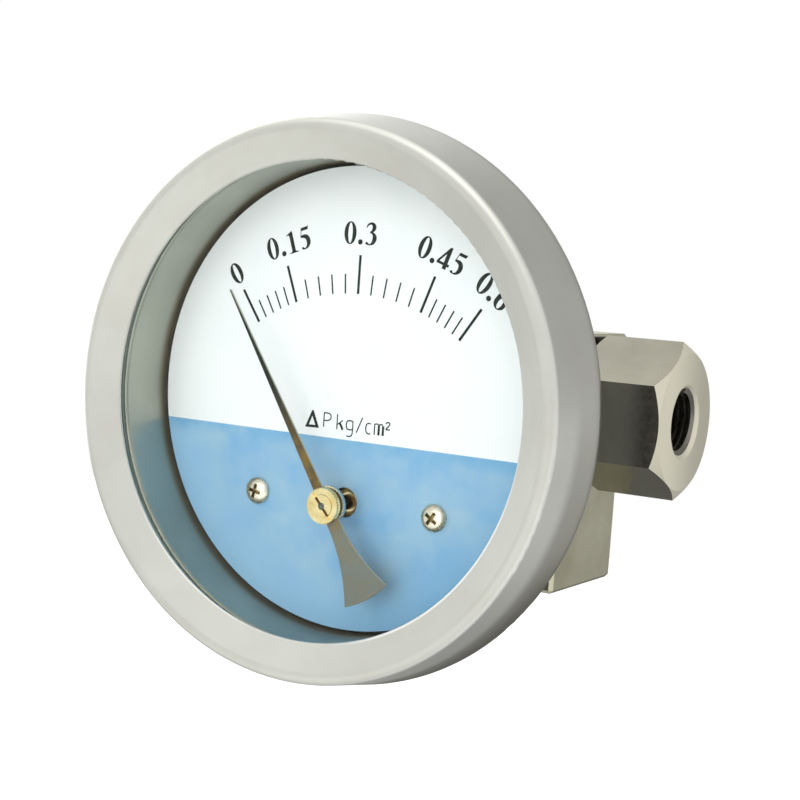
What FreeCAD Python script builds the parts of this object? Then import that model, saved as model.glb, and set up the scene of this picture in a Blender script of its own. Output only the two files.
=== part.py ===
import FreeCAD, Part
import math
import os

os.makedirs("parts", exist_ok=True)

V = FreeCAD.Vector

# All sizes are in millimetres. The origin is on the flat back of the body, level with the port axis.
# X runs from the high-pressure port to the low-pressure port, Y runs to the back, Z is up.

# Clearances that tie the fits together
slide_clearance = 0.05
spindle_clearance = 0.03
press_clearance = 0.01
thread_clearance = 0.05
loose_clearance = 0.3
screw_hole_clearance = 0.15

# Bore, fitting sockets and seals
bore_radius = 8.0
bore_shoulder = 2.0
socket_length = 14.0
seal_groove_width = 1.9
seal_groove_depth = 1.7
seal_side_gap = 0.15
seal_end_gap = 0.05

# Body block around the bore
body_width = 90.0
body_face_wall = 2.1
body_top_wall = 3.8
body_floor_wall = 1.5
body_edge_break = 0.7

# Hexagon fittings and their ports
hex_land = 0.6
hex_flat_margin = 1.0
hex_length = 19.1
hex_turn_deg = 2.0
hex_crown_inset = 0.1
hex_crown_angle_deg = 34.0
hex_foot_angle_deg = 30.0
spigot_lead = 1.0
port_thread_radius = 6.58
port_thread_length = 14.0
port_mouth_chamfer = 0.75
passage_radius = 3.5
passage_cone_length = 2.4

# Piston, its magnet and the range spring
piston_stroke = 9.0
piston_magnet_wall = 2.95
piston_magnet_length = 8.0
piston_web = 3.0
piston_spring_wall = 1.65
piston_groove_width = 0.8
piston_groove_depth = 0.4
piston_groove_pitch = 4.0
piston_grooves_each_end = 2
piston_edge_break = 0.4
spring_wire_width = 1.3
spring_wire_height = 1.1
spring_cup_clearance = 0.35
spring_coils = 7.0
spring_seat_gap = 0.02

# Case, ring and window, all on one axis a little below the port axis
case_axis_drop = 1.35
case_depth = 25.6
case_sheet = 1.2
case_corner_radius = 1.8
ring_outer_radius = 57.2
ring_skirt_depth = 16.8
ring_sheet = 1.0
ring_corner_radius = 1.8
ring_hem_radius = 2.2
ring_flare_deg = 9.5
ring_face_angle_deg = 28.0
lip_overhang = 1.0
lip_gap = 0.25
window_edge_clearance = 0.6
window_thickness = 2.2
window_edge_break = 0.3
gasket_edge_inset = 0.2
gasket_lip_setback = 1.15
gasket_thickness = 0.7
flange_edge_clearance = 0.5
lug_count = 4
lug_first_deg = 45.0
lug_span_deg = 16.0
lug_hold = 1.9
lug_wall_clearance = 2.17
lug_thickness = 1.5
lug_gap = 0.1
notch_clearance = 0.3
notch_span_deg = 20.0

# Dial and its fixings
dial_edge_gap = 1.0
dial_thickness = 0.8
dial_setback = 20.2
dial_hole_radius = 3.1
dial_screw_offset = 21.4
dial_screw_drop = 21.4
dial_post_radius = 3.4
screw_radius = 1.45
screw_point = 0.6
screw_head_radius = 2.75
screw_head_height = 1.7
screw_head_crown = 0.9
screw_crown_flat = 0.9
screw_depth_in_body = 8.0
screw_end_gap = 0.1
screw_turns_deg = (12.0, 35.0)
recess_width = 0.75
recess_length = 3.0
recess_depth = 1.0

# Pointer and its hub
pivot_drop = 21.15
pointer_rest_deg = -32.9
pointer_stand_off = 7.0
pointer_thickness = 0.5
pointer_reach = 49.5
pointer_tip_half_width = 0.1
pointer_root = 4.0
pointer_root_half_width = 1.05
pointer_boss_radius = 3.0
tail_reach = 20.7
tail_neck = 5.0
tail_neck_half_width = 1.5
tail_mid = 12.6
tail_mid_half_width = 2.65
tail_corner_half_width = 5.5
hub_radius = 3.75
hub_thickness = 1.2
hub_knurls = 36
hub_knurl_depth = 0.28
hub_boss_radius = 2.3
hub_boss_height = 0.25
hub_slot_width = 0.6
hub_slot_depth = 0.6
hub_slot_turn_deg = -9.0
hub_sleeve_radius = 1.6
hub_washer_radius = 4.0
hub_washer_thickness = 0.9

# Spindle, bearings and the magnet that follows the piston
spindle_radius = 0.72
spindle_tip_break = 0.15
spindle_point_length = 0.5
spindle_point_radius = 0.25
spindle_sink = 0.1
carrier_radius = 2.6
rotor_magnet_radius = 5.6
rotor_magnet_length = 6.0
rotor_side_clearance = 1.6
rotor_end_clearance = 3.0
rear_bush_radius = 2.5
rear_bush_length = 3.0
bearing_plate_ledge = 4.0
bearing_plate_thickness = 2.5
bearing_nose_radius = 4.0
nose_to_dial_gap = 0.9
nose_hole_clearance = 2.2
front_bush_radius = 2.0
plate_screw_radius = 0.9
plate_screw_head_radius = 1.6
plate_screw_length = 6.5
plate_screw_slot_width = 0.5
plate_screw_slot_depth = 0.4
plate_screw_sink = 0.02

# Radii worked out from the sizes above
socket_radius = bore_radius + bore_shoulder
seal_groove_radius = socket_radius + seal_groove_width
hex_foot_radius = seal_groove_radius + hex_land
hex_flat_radius = hex_foot_radius + hex_flat_margin
hex_corner_radius = hex_flat_radius / math.cos(math.pi / 6.0)
hex_crown_radius = hex_flat_radius - hex_crown_inset
port_mouth_radius = port_thread_radius + port_mouth_chamfer
piston_radius = bore_radius - slide_clearance
magnet_cup_radius = piston_radius - piston_magnet_wall
spring_cup_radius = piston_radius - piston_spring_wall
spring_mean_radius = spring_cup_radius - spring_cup_clearance - spring_wire_height / 2.0
ring_flare = math.radians(ring_flare_deg)
hem_centre = (ring_outer_radius - ring_hem_radius, ring_skirt_depth - ring_hem_radius)
flare_step = ring_hem_radius - ring_corner_radius
flare_step += (ring_corner_radius - hem_centre[1]) * math.sin(ring_flare)
ring_corner_centre = (hem_centre[0] + flare_step / math.cos(ring_flare), ring_corner_radius)
ring_inner_radius = ring_corner_centre[0] + ring_corner_radius - ring_sheet
window_radius = ring_inner_radius - window_edge_clearance
case_flange_radius = ring_inner_radius - flange_edge_clearance
lug_inner_radius = case_flange_radius - lug_hold
notch_radius = lug_inner_radius - notch_clearance
case_wall_outer_radius = lug_inner_radius - lug_wall_clearance
case_wall_inner_radius = case_wall_outer_radius - case_sheet
ring_lip_radius = case_wall_inner_radius - lip_overhang
gasket_inner_radius = ring_lip_radius + gasket_lip_setback
gasket_outer_radius = window_radius - gasket_edge_inset
dial_radius = case_wall_inner_radius - dial_edge_gap
screw_hole_radius = screw_radius + screw_hole_clearance
chamber_radius = rotor_magnet_radius + rotor_side_clearance
bearing_plate_radius = chamber_radius + bearing_plate_ledge
plate_screw_offset = chamber_radius + bearing_plate_ledge / 2.0
plate_sink_depth = plate_screw_head_radius - plate_screw_radius
case_pivot_hole_radius = bearing_nose_radius + nose_hole_clearance

# The rolled section of the ring, as radius and depth from its front
face_tilt = math.radians(ring_face_angle_deg)
face_start_radius = ring_corner_centre[0] - ring_corner_radius * math.sin(face_tilt)
face_start_depth = ring_corner_centre[1] - ring_corner_radius * math.cos(face_tilt)
face_end_depth = face_start_depth + (face_start_radius - ring_lip_radius) * math.tan(face_tilt)
lip_back_radius = ring_lip_radius + ring_sheet * math.sin(face_tilt)
lip_back_depth = face_end_depth + ring_sheet * math.cos(face_tilt)
lip_deepest = (face_end_depth + lip_back_depth + ring_sheet) / 2.0

# Levels worked out from the sizes above
body_depth = 2.0 * (seal_groove_radius + body_face_wall)
body_front = -body_depth
port_y = -body_depth / 2.0
half_width = body_width / 2.0
socket_floor = half_width - socket_length
hex_end = half_width + hex_length
case_z = -case_axis_drop
pivot_z = case_z - pivot_drop
dial_screw_z = case_z - dial_screw_drop
body_top = seal_groove_radius + body_top_wall
body_bottom = pivot_z - bearing_plate_radius - body_floor_wall
ring_front = body_front - case_depth
case_floor = body_front - case_sheet
window_front = ring_front + lip_deepest + lip_gap
gasket_front = window_front + window_thickness
flange_front = gasket_front + gasket_thickness
flange_back = flange_front + case_sheet
dial_front = ring_front + dial_setback
dial_back = dial_front + dial_thickness
pointer_front = dial_front - pointer_stand_off
pointer_back = pointer_front + pointer_thickness
hub_front = pointer_front - hub_thickness
hub_tip = hub_front - hub_boss_height
washer_back = pointer_back + hub_washer_thickness
nose_front = dial_back + nose_to_dial_gap
plate_back = body_front + bearing_plate_thickness
chamber_floor = port_y + rotor_magnet_length / 2.0 + rotor_end_clearance
rear_bush_back = chamber_floor + rear_bush_length
piston_start = -socket_floor + loose_clearance
piston_end = socket_floor - loose_clearance - piston_stroke
piston_magnet_centre = -piston_stroke / 2.0
magnet_cup_floor = piston_magnet_centre + piston_magnet_length / 2.0
spring_cup_floor = magnet_cup_floor + piston_web

# How far a cutting shape reaches past what it cuts
cut_over = 1.0

# Directions
ALONG_X = V(1, 0, 0)
ALONG_Y = V(0, 1, 0)
ALONG_Z = V(0, 0, 1)


def rod_y(radius, front, back, x=0.0, z=0.0):
    """Round bar along Y between two levels."""
    return Part.makeCylinder(radius, back - front, V(x, front, z), ALONG_Y)


def rod_x(radius, start, end):
    """Round bar on the port axis between two stations."""
    return Part.makeCylinder(radius, end - start, V(start, port_y, 0), ALONG_X)


def cone_x(radius_start, radius_end, start, end):
    """Cone on the port axis between two stations."""
    return Part.makeCone(radius_start, radius_end, end - start, V(start, port_y, 0), ALONG_X)


def spin_y(edges, z):
    """Turn a closed profile, drawn in radius and level, about an axis along Y at height z."""
    face = Part.Face(Part.Wire(edges))
    face.translate(V(0, 0, z))
    return face.revolve(V(0, 0, z), ALONG_Y, 360)


def line(start, end):
    """Straight profile edge between two points given as radius and level."""
    return Part.LineSegment(V(start[0], start[1], 0), V(end[0], end[1], 0)).toShape()


def arc(start, middle, end):
    """Arc profile edge through three points given as radius and level."""
    return Part.Arc(V(start[0], start[1], 0), V(middle[0], middle[1], 0), V(end[0], end[1], 0)).toShape()


def polygon(points):
    """Closed chain of straight profile edges."""
    return [line(a, b) for a, b in zip(points, points[1:] + points[:1])]


def sector(inner, outer, front, back, middle_deg, span_deg, z):
    """Piece of a flat ring about an axis along Y."""
    profile = polygon([(inner, front), (outer, front), (outer, back), (inner, back)])
    face = Part.Face(Part.Wire(profile))
    face.translate(V(0, 0, z))
    piece = face.revolve(V(0, 0, z), ALONG_Y, span_deg)
    piece.rotate(V(0, 0, z), ALONG_Y, middle_deg - span_deg / 2.0)
    return piece


def fuse_all(shapes):
    """One solid from several that meet."""
    joined = shapes[0].multiFuse(shapes[1:])
    return joined.removeSplitter()


def round_edges(shape):
    """Edges of a solid that are full circles."""
    return [edge for edge in shape.Edges if isinstance(edge.Curve, Part.Circle)]


def ring_profile(front):
    """Section of the rolled ring: hem, flared skirt, corner, dished face and rounded lip."""

    def bend(centre, radius, turn):
        """Point on a bend, turned from straight outwards towards the front."""
        return (centre[0] + radius * math.cos(turn), centre[1] - radius * math.sin(turn))

    def curve(centre, radius, start, end):
        """Bend from one turn to another."""
        middle = bend(centre, radius, (start + end) / 2.0)
        return arc(bend(centre, radius, start), middle, bend(centre, radius, end))

    hem_turn = -math.pi / 2.0
    face_turn = math.pi / 2.0 + face_tilt
    corner = ring_corner_centre
    inner_corner = ring_corner_radius - ring_sheet
    inner_hem = ring_hem_radius - ring_sheet
    face_end = (ring_lip_radius, face_end_depth)
    back_end = (lip_back_radius, lip_back_depth)
    lip_x = (ring_lip_radius + lip_back_radius - ring_sheet * math.cos(face_tilt)) / 2.0
    lip_y = (face_end_depth + lip_back_depth + ring_sheet * math.sin(face_tilt)) / 2.0
    chain = [
        curve(hem_centre, ring_hem_radius, hem_turn, ring_flare),
        line(bend(hem_centre, ring_hem_radius, ring_flare), bend(corner, ring_corner_radius, ring_flare)),
        curve(corner, ring_corner_radius, ring_flare, face_turn),
        line(bend(corner, ring_corner_radius, face_turn), face_end),
        arc(face_end, (lip_x, lip_y), back_end),
        line(back_end, bend(corner, inner_corner, face_turn)),
        curve(corner, inner_corner, face_turn, ring_flare),
        line(bend(corner, inner_corner, ring_flare), bend(hem_centre, inner_hem, ring_flare)),
        curve(hem_centre, inner_hem, ring_flare, hem_turn),
        line(bend(hem_centre, inner_hem, hem_turn), bend(hem_centre, ring_hem_radius, hem_turn)),
    ]
    for edge in chain:
        edge.translate(V(0, front, 0))
    return chain


def make_bezel_ring():
    """Ring with lugs that hook behind the case flange."""
    shapes = [spin_y(ring_profile(ring_front), case_z)]
    front = flange_back + lug_gap
    back = front + lug_thickness
    down_skirt = (front + back) / 2.0 - ring_front - ring_corner_radius
    outer = ring_inner_radius + ring_sheet / 2.0 + down_skirt * math.tan(ring_flare)
    for index in range(lug_count):
        middle = lug_first_deg + index * 360.0 / lug_count
        shapes.append(sector(lug_inner_radius, outer, front, back, middle, lug_span_deg, case_z))
    return fuse_all(shapes)


def make_window_glass():
    """Flat window with its edges broken."""
    glass = rod_y(window_radius, window_front, gasket_front, 0, case_z)
    return glass.makeChamfer(window_edge_break, round_edges(glass))


def make_window_gasket():
    """Flat rubber ring between window and flange."""
    outer = rod_y(gasket_outer_radius, gasket_front, flange_front, 0, case_z)
    return outer.cut(rod_y(gasket_inner_radius, gasket_front, flange_front, 0, case_z))


def make_case_pan():
    """Drawn case: notched flange, wall, rounded corner and pierced back."""
    inner = case_wall_inner_radius
    outer = case_wall_outer_radius
    in_r = case_corner_radius
    out_r = case_corner_radius + case_sheet
    centre = (inner - in_r, case_floor - in_r)
    bend = math.sqrt(0.5)
    out_bend = (centre[0] + out_r * bend, centre[1] + out_r * bend)
    in_bend = (centre[0] + in_r * bend, centre[1] + in_r * bend)
    chain = [
        line((inner, flange_front), (case_flange_radius, flange_front)),
        line((case_flange_radius, flange_front), (case_flange_radius, flange_back)),
        line((case_flange_radius, flange_back), (outer, flange_back)),
        line((outer, flange_back), (outer, centre[1])),
        arc((outer, centre[1]), out_bend, (centre[0], body_front)),
        line((centre[0], body_front), (0, body_front)),
        line((0, body_front), (0, case_floor)),
        line((0, case_floor), (centre[0], case_floor)),
        arc((centre[0], case_floor), in_bend, (inner, centre[1])),
        line((inner, centre[1]), (inner, flange_front)),
    ]
    pan = spin_y(chain, case_z)
    cuts = [rod_y(case_pivot_hole_radius, case_floor, body_front, 0, pivot_z)]
    for side in (-1, 1):
        screw_x = side * dial_screw_offset
        cuts.append(rod_y(screw_hole_radius, case_floor, body_front, screw_x, dial_screw_z))
    rim = case_flange_radius + cut_over
    for index in range(lug_count):
        middle = index * 360.0 / lug_count
        cuts.append(sector(notch_radius, rim, flange_front, flange_back, middle, notch_span_deg, case_z))
    return pan.cut(cuts)


def make_dial_plate():
    """Flat dial with the pivot hole and two screw holes."""
    dial = rod_y(dial_radius, dial_front, dial_back, 0, case_z)
    cuts = [rod_y(dial_hole_radius, dial_front, dial_back, 0, pivot_z)]
    for side in (-1, 1):
        screw_x = side * dial_screw_offset
        cuts.append(rod_y(screw_hole_radius, dial_front, dial_back, screw_x, dial_screw_z))
    return dial.cut(cuts)


def make_dial_posts():
    """Two tubes that hold the dial clear of the case back."""
    posts = []
    for side in (-1, 1):
        x = side * dial_screw_offset
        post = rod_y(dial_post_radius, dial_back, case_floor, x, dial_screw_z)
        hole = rod_y(screw_hole_radius, dial_back, case_floor, x, dial_screw_z)
        posts.append(post.cut(hole))
    return Part.makeCompound(posts)


def make_dial_screw(x, turn_deg):
    """Pan-head screw with a cross recess, through dial, post and case into the body."""
    head_front = dial_front - screw_head_height
    rim = head_front + screw_head_crown
    point = body_front + screw_depth_in_body - screw_end_gap
    reach = screw_head_radius - screw_crown_flat
    dome = (reach * reach + screw_head_crown * screw_head_crown) / (2.0 * screw_head_crown)
    half_turn = math.asin(reach / dome) / 2.0
    dome_x = screw_crown_flat + dome * math.sin(half_turn)
    dome_y = head_front + dome * (1.0 - math.cos(half_turn))
    chain = [
        line((0, head_front), (screw_crown_flat, head_front)),
        arc((screw_crown_flat, head_front), (dome_x, dome_y), (screw_head_radius, rim)),
        line((screw_head_radius, rim), (screw_head_radius, dial_front)),
        line((screw_head_radius, dial_front), (screw_radius, dial_front)),
        line((screw_radius, dial_front), (screw_radius, point - screw_point)),
        line((screw_radius, point - screw_point), (screw_radius - screw_point, point)),
        line((screw_radius - screw_point, point), (0, point)),
        line((0, point), (0, head_front)),
    ]
    screw = spin_y(chain, 0)
    for turn in (0.0, 90.0):
        corner = V(-recess_length / 2.0, head_front, -recess_width / 2.0)
        bar = Part.makeBox(recess_length, recess_depth, recess_width, corner)
        bar.rotate(V(0, 0, 0), ALONG_Y, turn)
        screw = screw.cut(bar)
    screw.rotate(V(0, 0, 0), ALONG_Y, turn_deg)
    screw.translate(V(x, 0, dial_screw_z))
    return screw


def make_dial_screws():
    """The two dial screws, each left at its own turn."""
    left = make_dial_screw(-dial_screw_offset, screw_turns_deg[0])
    right = make_dial_screw(dial_screw_offset, screw_turns_deg[1])
    return Part.makeCompound([left, right])


def make_pointer():
    """Tapered blade and flared tail in one sheet, drawn upright and turned to rest."""
    tail_angle = math.asin(tail_corner_half_width / tail_reach)
    corner_z = -tail_reach * math.cos(tail_angle)

    def at(x, z):
        """Point of the sheet's outline."""
        return V(x, pointer_front, z)

    def side(sign):
        """Edge from neck to tail corner on one side."""
        neck = at(sign * tail_neck_half_width, -tail_neck)
        middle = at(sign * tail_mid_half_width, -tail_mid)
        return Part.Arc(neck, middle, at(sign * tail_corner_half_width, corner_z)).toShape()

    tip = pointer_tip_half_width
    root = pointer_root_half_width
    right_neck = at(tail_neck_half_width, -tail_neck)
    left_neck = at(-tail_neck_half_width, -tail_neck)
    blade = [
        Part.LineSegment(left_neck, at(-root, pointer_root)).toShape(),
        Part.LineSegment(at(-root, pointer_root), at(-tip, pointer_reach)).toShape(),
        Part.LineSegment(at(-tip, pointer_reach), at(tip, pointer_reach)).toShape(),
        Part.LineSegment(at(tip, pointer_reach), at(root, pointer_root)).toShape(),
        Part.LineSegment(at(root, pointer_root), right_neck).toShape(),
        side(1),
        Part.Arc(at(tail_corner_half_width, corner_z), at(0, -tail_reach),
                 at(-tail_corner_half_width, corner_z)).toShape(),
        side(-1),
    ]
    outline = Part.Wire(Part.__sortEdges__(blade))
    sheet = Part.Face(outline).extrude(V(0, pointer_thickness, 0))
    boss = rod_y(pointer_boss_radius, pointer_front, pointer_back)
    whole = fuse_all([sheet, boss])
    whole = whole.cut(rod_y(hub_sleeve_radius + press_clearance, pointer_front, pointer_back))
    return place_on_pivot(whole)


def place_on_pivot(shape):
    """Turn a piece drawn upright about the spindle to its rest and lift it to the pivot."""
    shape.rotate(V(0, 0, 0), ALONG_Y, pointer_rest_deg)
    shape.translate(V(0, 0, pivot_z))
    return shape


def make_pointer_hub():
    """Knurled head with a slotted boss, and the sleeve that goes through the dial."""
    points = []
    for index in range(hub_knurls * 2):
        turn = math.pi * index / hub_knurls
        radius = hub_radius - (index % 2) * hub_knurl_depth
        points.append(V(radius * math.sin(turn), hub_front, radius * math.cos(turn)))
    head = Part.Face(Part.makePolygon(points + points[:1])).extrude(V(0, hub_thickness, 0))
    boss = rod_y(hub_boss_radius, hub_tip, hub_front)
    sleeve = rod_y(hub_sleeve_radius, pointer_front, nose_front - loose_clearance)
    hub = fuse_all([head, boss, sleeve])
    slot_reach = hub_boss_radius + cut_over
    slot_corner = V(-hub_slot_width / 2.0, hub_tip, -slot_reach)
    slot = Part.makeBox(hub_slot_width, hub_slot_depth, 2.0 * slot_reach, slot_corner)
    slot.rotate(V(0, 0, 0), ALONG_Y, hub_slot_turn_deg)
    bore = rod_y(spindle_radius + press_clearance, hub_tip, nose_front)
    return place_on_pivot(hub.cut([slot, bore]))


def make_hub_washer():
    """Washer behind the blade."""
    washer = rod_y(hub_washer_radius, pointer_back, washer_back)
    washer = washer.cut(rod_y(hub_sleeve_radius + press_clearance, pointer_back, washer_back))
    return place_on_pivot(washer)


def make_pointer_shaft():
    """Spindle from the hub to the rear bearing, with a coned end."""
    front = hub_tip + spindle_sink
    back = rear_bush_back - loose_clearance
    tip_radius = spindle_radius - spindle_tip_break
    cone_start = back - spindle_point_length
    chain = [
        line((0, front), (tip_radius, front)),
        line((tip_radius, front), (spindle_radius, front + spindle_tip_break)),
        line((spindle_radius, front + spindle_tip_break), (spindle_radius, cone_start)),
        line((spindle_radius, cone_start), (spindle_point_radius, back)),
        line((spindle_point_radius, back), (0, back)),
        line((0, back), (0, front)),
    ]
    return spin_y(chain, pivot_z)


def make_magnet_carrier():
    """Sleeve that spaces the spindle between its bearings and holds the magnet."""
    front = plate_back + loose_clearance
    back = chamber_floor - loose_clearance
    sleeve = rod_y(carrier_radius, front, back)
    sleeve = sleeve.cut(rod_y(spindle_radius + press_clearance, front, back))
    return place_on_pivot(sleeve)


def make_rotor_magnet():
    """Ring magnet level with the port axis."""
    front = port_y - rotor_magnet_length / 2.0
    back = port_y + rotor_magnet_length / 2.0
    magnet = rod_y(rotor_magnet_radius, front, back)
    magnet = magnet.cut(rod_y(carrier_radius + press_clearance, front, back))
    return place_on_pivot(magnet)


def make_bearing_plate():
    """Plate that closes the magnet chamber, with a nose for the front bearing."""
    plate = rod_y(bearing_plate_radius, body_front, plate_back, 0, pivot_z)
    nose = rod_y(bearing_nose_radius, nose_front, body_front, 0, pivot_z)
    whole = fuse_all([plate, nose])
    cuts = [rod_y(front_bush_radius + press_clearance, nose_front, plate_back, 0, pivot_z)]
    wide = plate_screw_head_radius + screw_hole_clearance
    narrow = plate_screw_radius + screw_hole_clearance
    for side in (-1, 1):
        x = side * plate_screw_offset
        cuts.append(Part.makeCone(wide, narrow, plate_sink_depth, V(x, body_front, pivot_z), ALONG_Y))
        cuts.append(rod_y(narrow, body_front + plate_sink_depth, plate_back, x, pivot_z))
    return whole.cut(cuts)


def make_bearing_plate_screws():
    """Two countersunk slotted screws, flush with the plate."""
    front = body_front + plate_screw_sink
    neck = front + plate_sink_depth
    wide = plate_screw_head_radius
    screws = []
    for side in (-1, 1):
        x = side * plate_screw_offset
        head = Part.makeCone(wide, plate_screw_radius, plate_sink_depth, V(x, front, pivot_z), ALONG_Y)
        shank = rod_y(plate_screw_radius, neck, front + plate_screw_length, x, pivot_z)
        corner = V(x - wide, front, pivot_z - plate_screw_slot_width / 2.0)
        slot = Part.makeBox(2.0 * wide, plate_screw_slot_depth, plate_screw_slot_width, corner)
        screws.append(fuse_all([head, shank]).cut(slot))
    return Part.makeCompound(screws)


def make_front_bush():
    """Front bearing in the nose of the plate."""
    bush = rod_y(front_bush_radius, nose_front, plate_back, 0, pivot_z)
    return bush.cut(rod_y(spindle_radius + spindle_clearance, nose_front, plate_back, 0, pivot_z))


def make_rear_bush():
    """Rear bearing at the bottom of the magnet chamber."""
    bush = rod_y(rear_bush_radius, chamber_floor, rear_bush_back, 0, pivot_z)
    return bush.cut(rod_y(spindle_radius + spindle_clearance, chamber_floor, rear_bush_back, 0, pivot_z))


def make_gauge_body():
    """Block with the piston bore, two fitting sockets, the magnet chamber and tapped holes."""
    corner = V(-half_width, body_front, body_bottom)
    block = Part.makeBox(body_width, body_depth, body_top - body_bottom, corner)
    block = block.makeChamfer(body_edge_break, block.Edges)
    cuts = [rod_x(bore_radius, -socket_floor, socket_floor)]
    tapped = screw_radius + thread_clearance
    small_tapped = plate_screw_radius + thread_clearance
    small_floor = body_front + plate_screw_length + loose_clearance
    for side in (-1, 1):
        mouth = side * half_width
        floor = side * socket_floor
        groove = side * (half_width - seal_groove_depth)
        cuts.append(rod_x(socket_radius, min(mouth, floor), max(mouth, floor)))
        cuts.append(rod_x(seal_groove_radius, min(mouth, groove), max(mouth, groove)))
        screw_x = side * dial_screw_offset
        cuts.append(rod_y(tapped, body_front, body_front + screw_depth_in_body, screw_x, dial_screw_z))
        cuts.append(rod_y(small_tapped, plate_back, small_floor, side * plate_screw_offset, pivot_z))
    seat = bearing_plate_radius + thread_clearance
    bush_seat = rear_bush_radius + press_clearance
    cuts.append(rod_y(seat, body_front, plate_back, 0, pivot_z))
    cuts.append(rod_y(chamber_radius, plate_back, chamber_floor, 0, pivot_z))
    cuts.append(rod_y(bush_seat, chamber_floor, rear_bush_back, 0, pivot_z))
    return block.cut(cuts)


def make_fitting():
    """Hexagon fitting on the low-pressure side: crowned hexagon, threaded spigot, port and passage."""
    points = []
    for index in range(6):
        turn = math.radians(hex_turn_deg + 90.0 + 60.0 * index)
        y = port_y + hex_corner_radius * math.cos(turn)
        points.append(V(half_width, y, hex_corner_radius * math.sin(turn)))
    prism = Part.Face(Part.makePolygon(points + points[:1])).extrude(V(hex_length, 0, 0))
    big = hex_corner_radius + cut_over
    crown = (big - hex_crown_radius) * math.tan(math.radians(hex_crown_angle_deg))
    foot = (big - hex_foot_radius) * math.tan(math.radians(hex_foot_angle_deg))
    envelope = [
        V(half_width, port_y, 0),
        V(half_width, port_y + hex_foot_radius, 0),
        V(half_width + foot, port_y + big, 0),
        V(hex_end - crown, port_y + big, 0),
        V(hex_end, port_y + hex_crown_radius, 0),
        V(hex_end, port_y, 0),
    ]
    section = Part.Face(Part.makePolygon(envelope + envelope[:1]))
    head = prism.common(section.revolve(V(0, port_y, 0), ALONG_X, 360))
    spigot_radius = socket_radius - thread_clearance
    lead_end = socket_floor + spigot_lead
    lead_cone = cone_x(spigot_radius - spigot_lead, spigot_radius, socket_floor, lead_end)
    spigot = fuse_all([lead_cone, rod_x(spigot_radius, lead_end, half_width)])
    whole = fuse_all([head, spigot])
    thread_floor = hex_end - port_thread_length
    cone_end = thread_floor - passage_cone_length
    cuts = [
        rod_x(port_thread_radius, thread_floor, hex_end),
        cone_x(port_thread_radius, port_mouth_radius, hex_end - port_mouth_chamfer, hex_end),
        cone_x(passage_radius, port_thread_radius, cone_end, thread_floor),
        rod_x(passage_radius, socket_floor, thread_floor),
    ]
    return whole.cut(cuts)


def make_high_side_fitting():
    """The same fitting turned round to the high-pressure side."""
    fitting = make_fitting()
    fitting.rotate(V(0, port_y, 0), ALONG_Z, 180)
    return fitting


def make_fitting_seals():
    """Square-section seal ring under each hexagon."""
    inner = socket_radius + seal_side_gap
    outer = seal_groove_radius - seal_side_gap
    near = half_width - seal_groove_depth + seal_end_gap
    far = half_width - seal_end_gap
    seals = []
    for start, end in ((near, far), (-far, -near)):
        seals.append(rod_x(outer, start, end).cut(rod_x(inner, start, end)))
    return Part.makeCompound(seals)


def make_piston():
    """Hollow piston: magnet cup on the high side, spring cup on the low side, grooves near both ends."""
    body = rod_x(piston_radius, piston_start, piston_end)
    body = body.makeChamfer(piston_edge_break, round_edges(body))
    cuts = [
        rod_x(magnet_cup_radius, piston_start, magnet_cup_floor),
        rod_x(spring_cup_radius, spring_cup_floor, piston_end),
    ]
    for index in range(piston_grooves_each_end):
        offset = (index + 1) * piston_groove_pitch
        for start in (piston_start + offset, piston_end - offset - piston_groove_width):
            outer = rod_x(piston_radius + cut_over, start, start + piston_groove_width)
            core = rod_x(piston_radius - piston_groove_depth, start, start + piston_groove_width)
            cuts.append(outer.cut(core))
    return body.cut(cuts)


def make_piston_magnet():
    """Bar magnet at the bottom of its cup."""
    start = magnet_cup_floor - piston_magnet_length
    return rod_x(magnet_cup_radius - press_clearance, start, magnet_cup_floor)


def make_range_spring():
    """Coil spring of flat wire between the piston and the low-side fitting."""
    half = spring_wire_width / 2.0
    start = spring_cup_floor + half + spring_seat_gap
    end = socket_floor - half - spring_seat_gap
    height = end - start
    inner = spring_mean_radius - spring_wire_height / 2.0
    outer = spring_mean_radius + spring_wire_height / 2.0
    path = Part.makeHelix(height / spring_coils, height, spring_mean_radius)
    corners = [V(inner, 0, -half), V(outer, 0, -half), V(outer, 0, half), V(inner, 0, half)]
    section = Part.makePolygon(corners + corners[:1])
    coil = path.makePipeShell([section], True, True)
    coil.rotate(V(0, 0, 0), ALONG_Y, 90)
    coil.translate(V(start, port_y, 0))
    return coil


PIECES = {
    "bezel_ring": make_bezel_ring,
    "window_glass": make_window_glass,
    "window_gasket": make_window_gasket,
    "case_pan": make_case_pan,
    "dial_plate": make_dial_plate,
    "dial_posts": make_dial_posts,
    "dial_screws": make_dial_screws,
    "pointer": make_pointer,
    "pointer_hub": make_pointer_hub,
    "hub_washer": make_hub_washer,
    "pointer_shaft": make_pointer_shaft,
    "magnet_carrier": make_magnet_carrier,
    "rotor_magnet": make_rotor_magnet,
    "bearing_plate": make_bearing_plate,
    "bearing_plate_screws": make_bearing_plate_screws,
    "front_bush": make_front_bush,
    "rear_bush": make_rear_bush,
    "gauge_body": make_gauge_body,
    "high_side_fitting": make_high_side_fitting,
    "low_side_fitting": make_fitting,
    "fitting_seals": make_fitting_seals,
    "piston": make_piston,
    "piston_magnet": make_piston_magnet,
    "range_spring": make_range_spring,
}

for name, make in PIECES.items():
    shape = make()
    for solid in shape.Solids:
        print(name, "valid" if solid.isValid() else "INVALID", round(solid.Volume, 2), "mm3")
    shape.exportStep(os.path.join("parts", name + ".step"))
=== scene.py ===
"""Dressed scene of a differential pressure gauge on its solid frame.

The solids carry every true size. This script gives each of them its finish, adds the print on
the dial, the threads in the ports and the working spring, and stands them in a plain pale studio.
"""

import logging
import math
from dataclasses import dataclass, field, replace
from enum import Enum
from typing import Any, ClassVar, Optional

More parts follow.
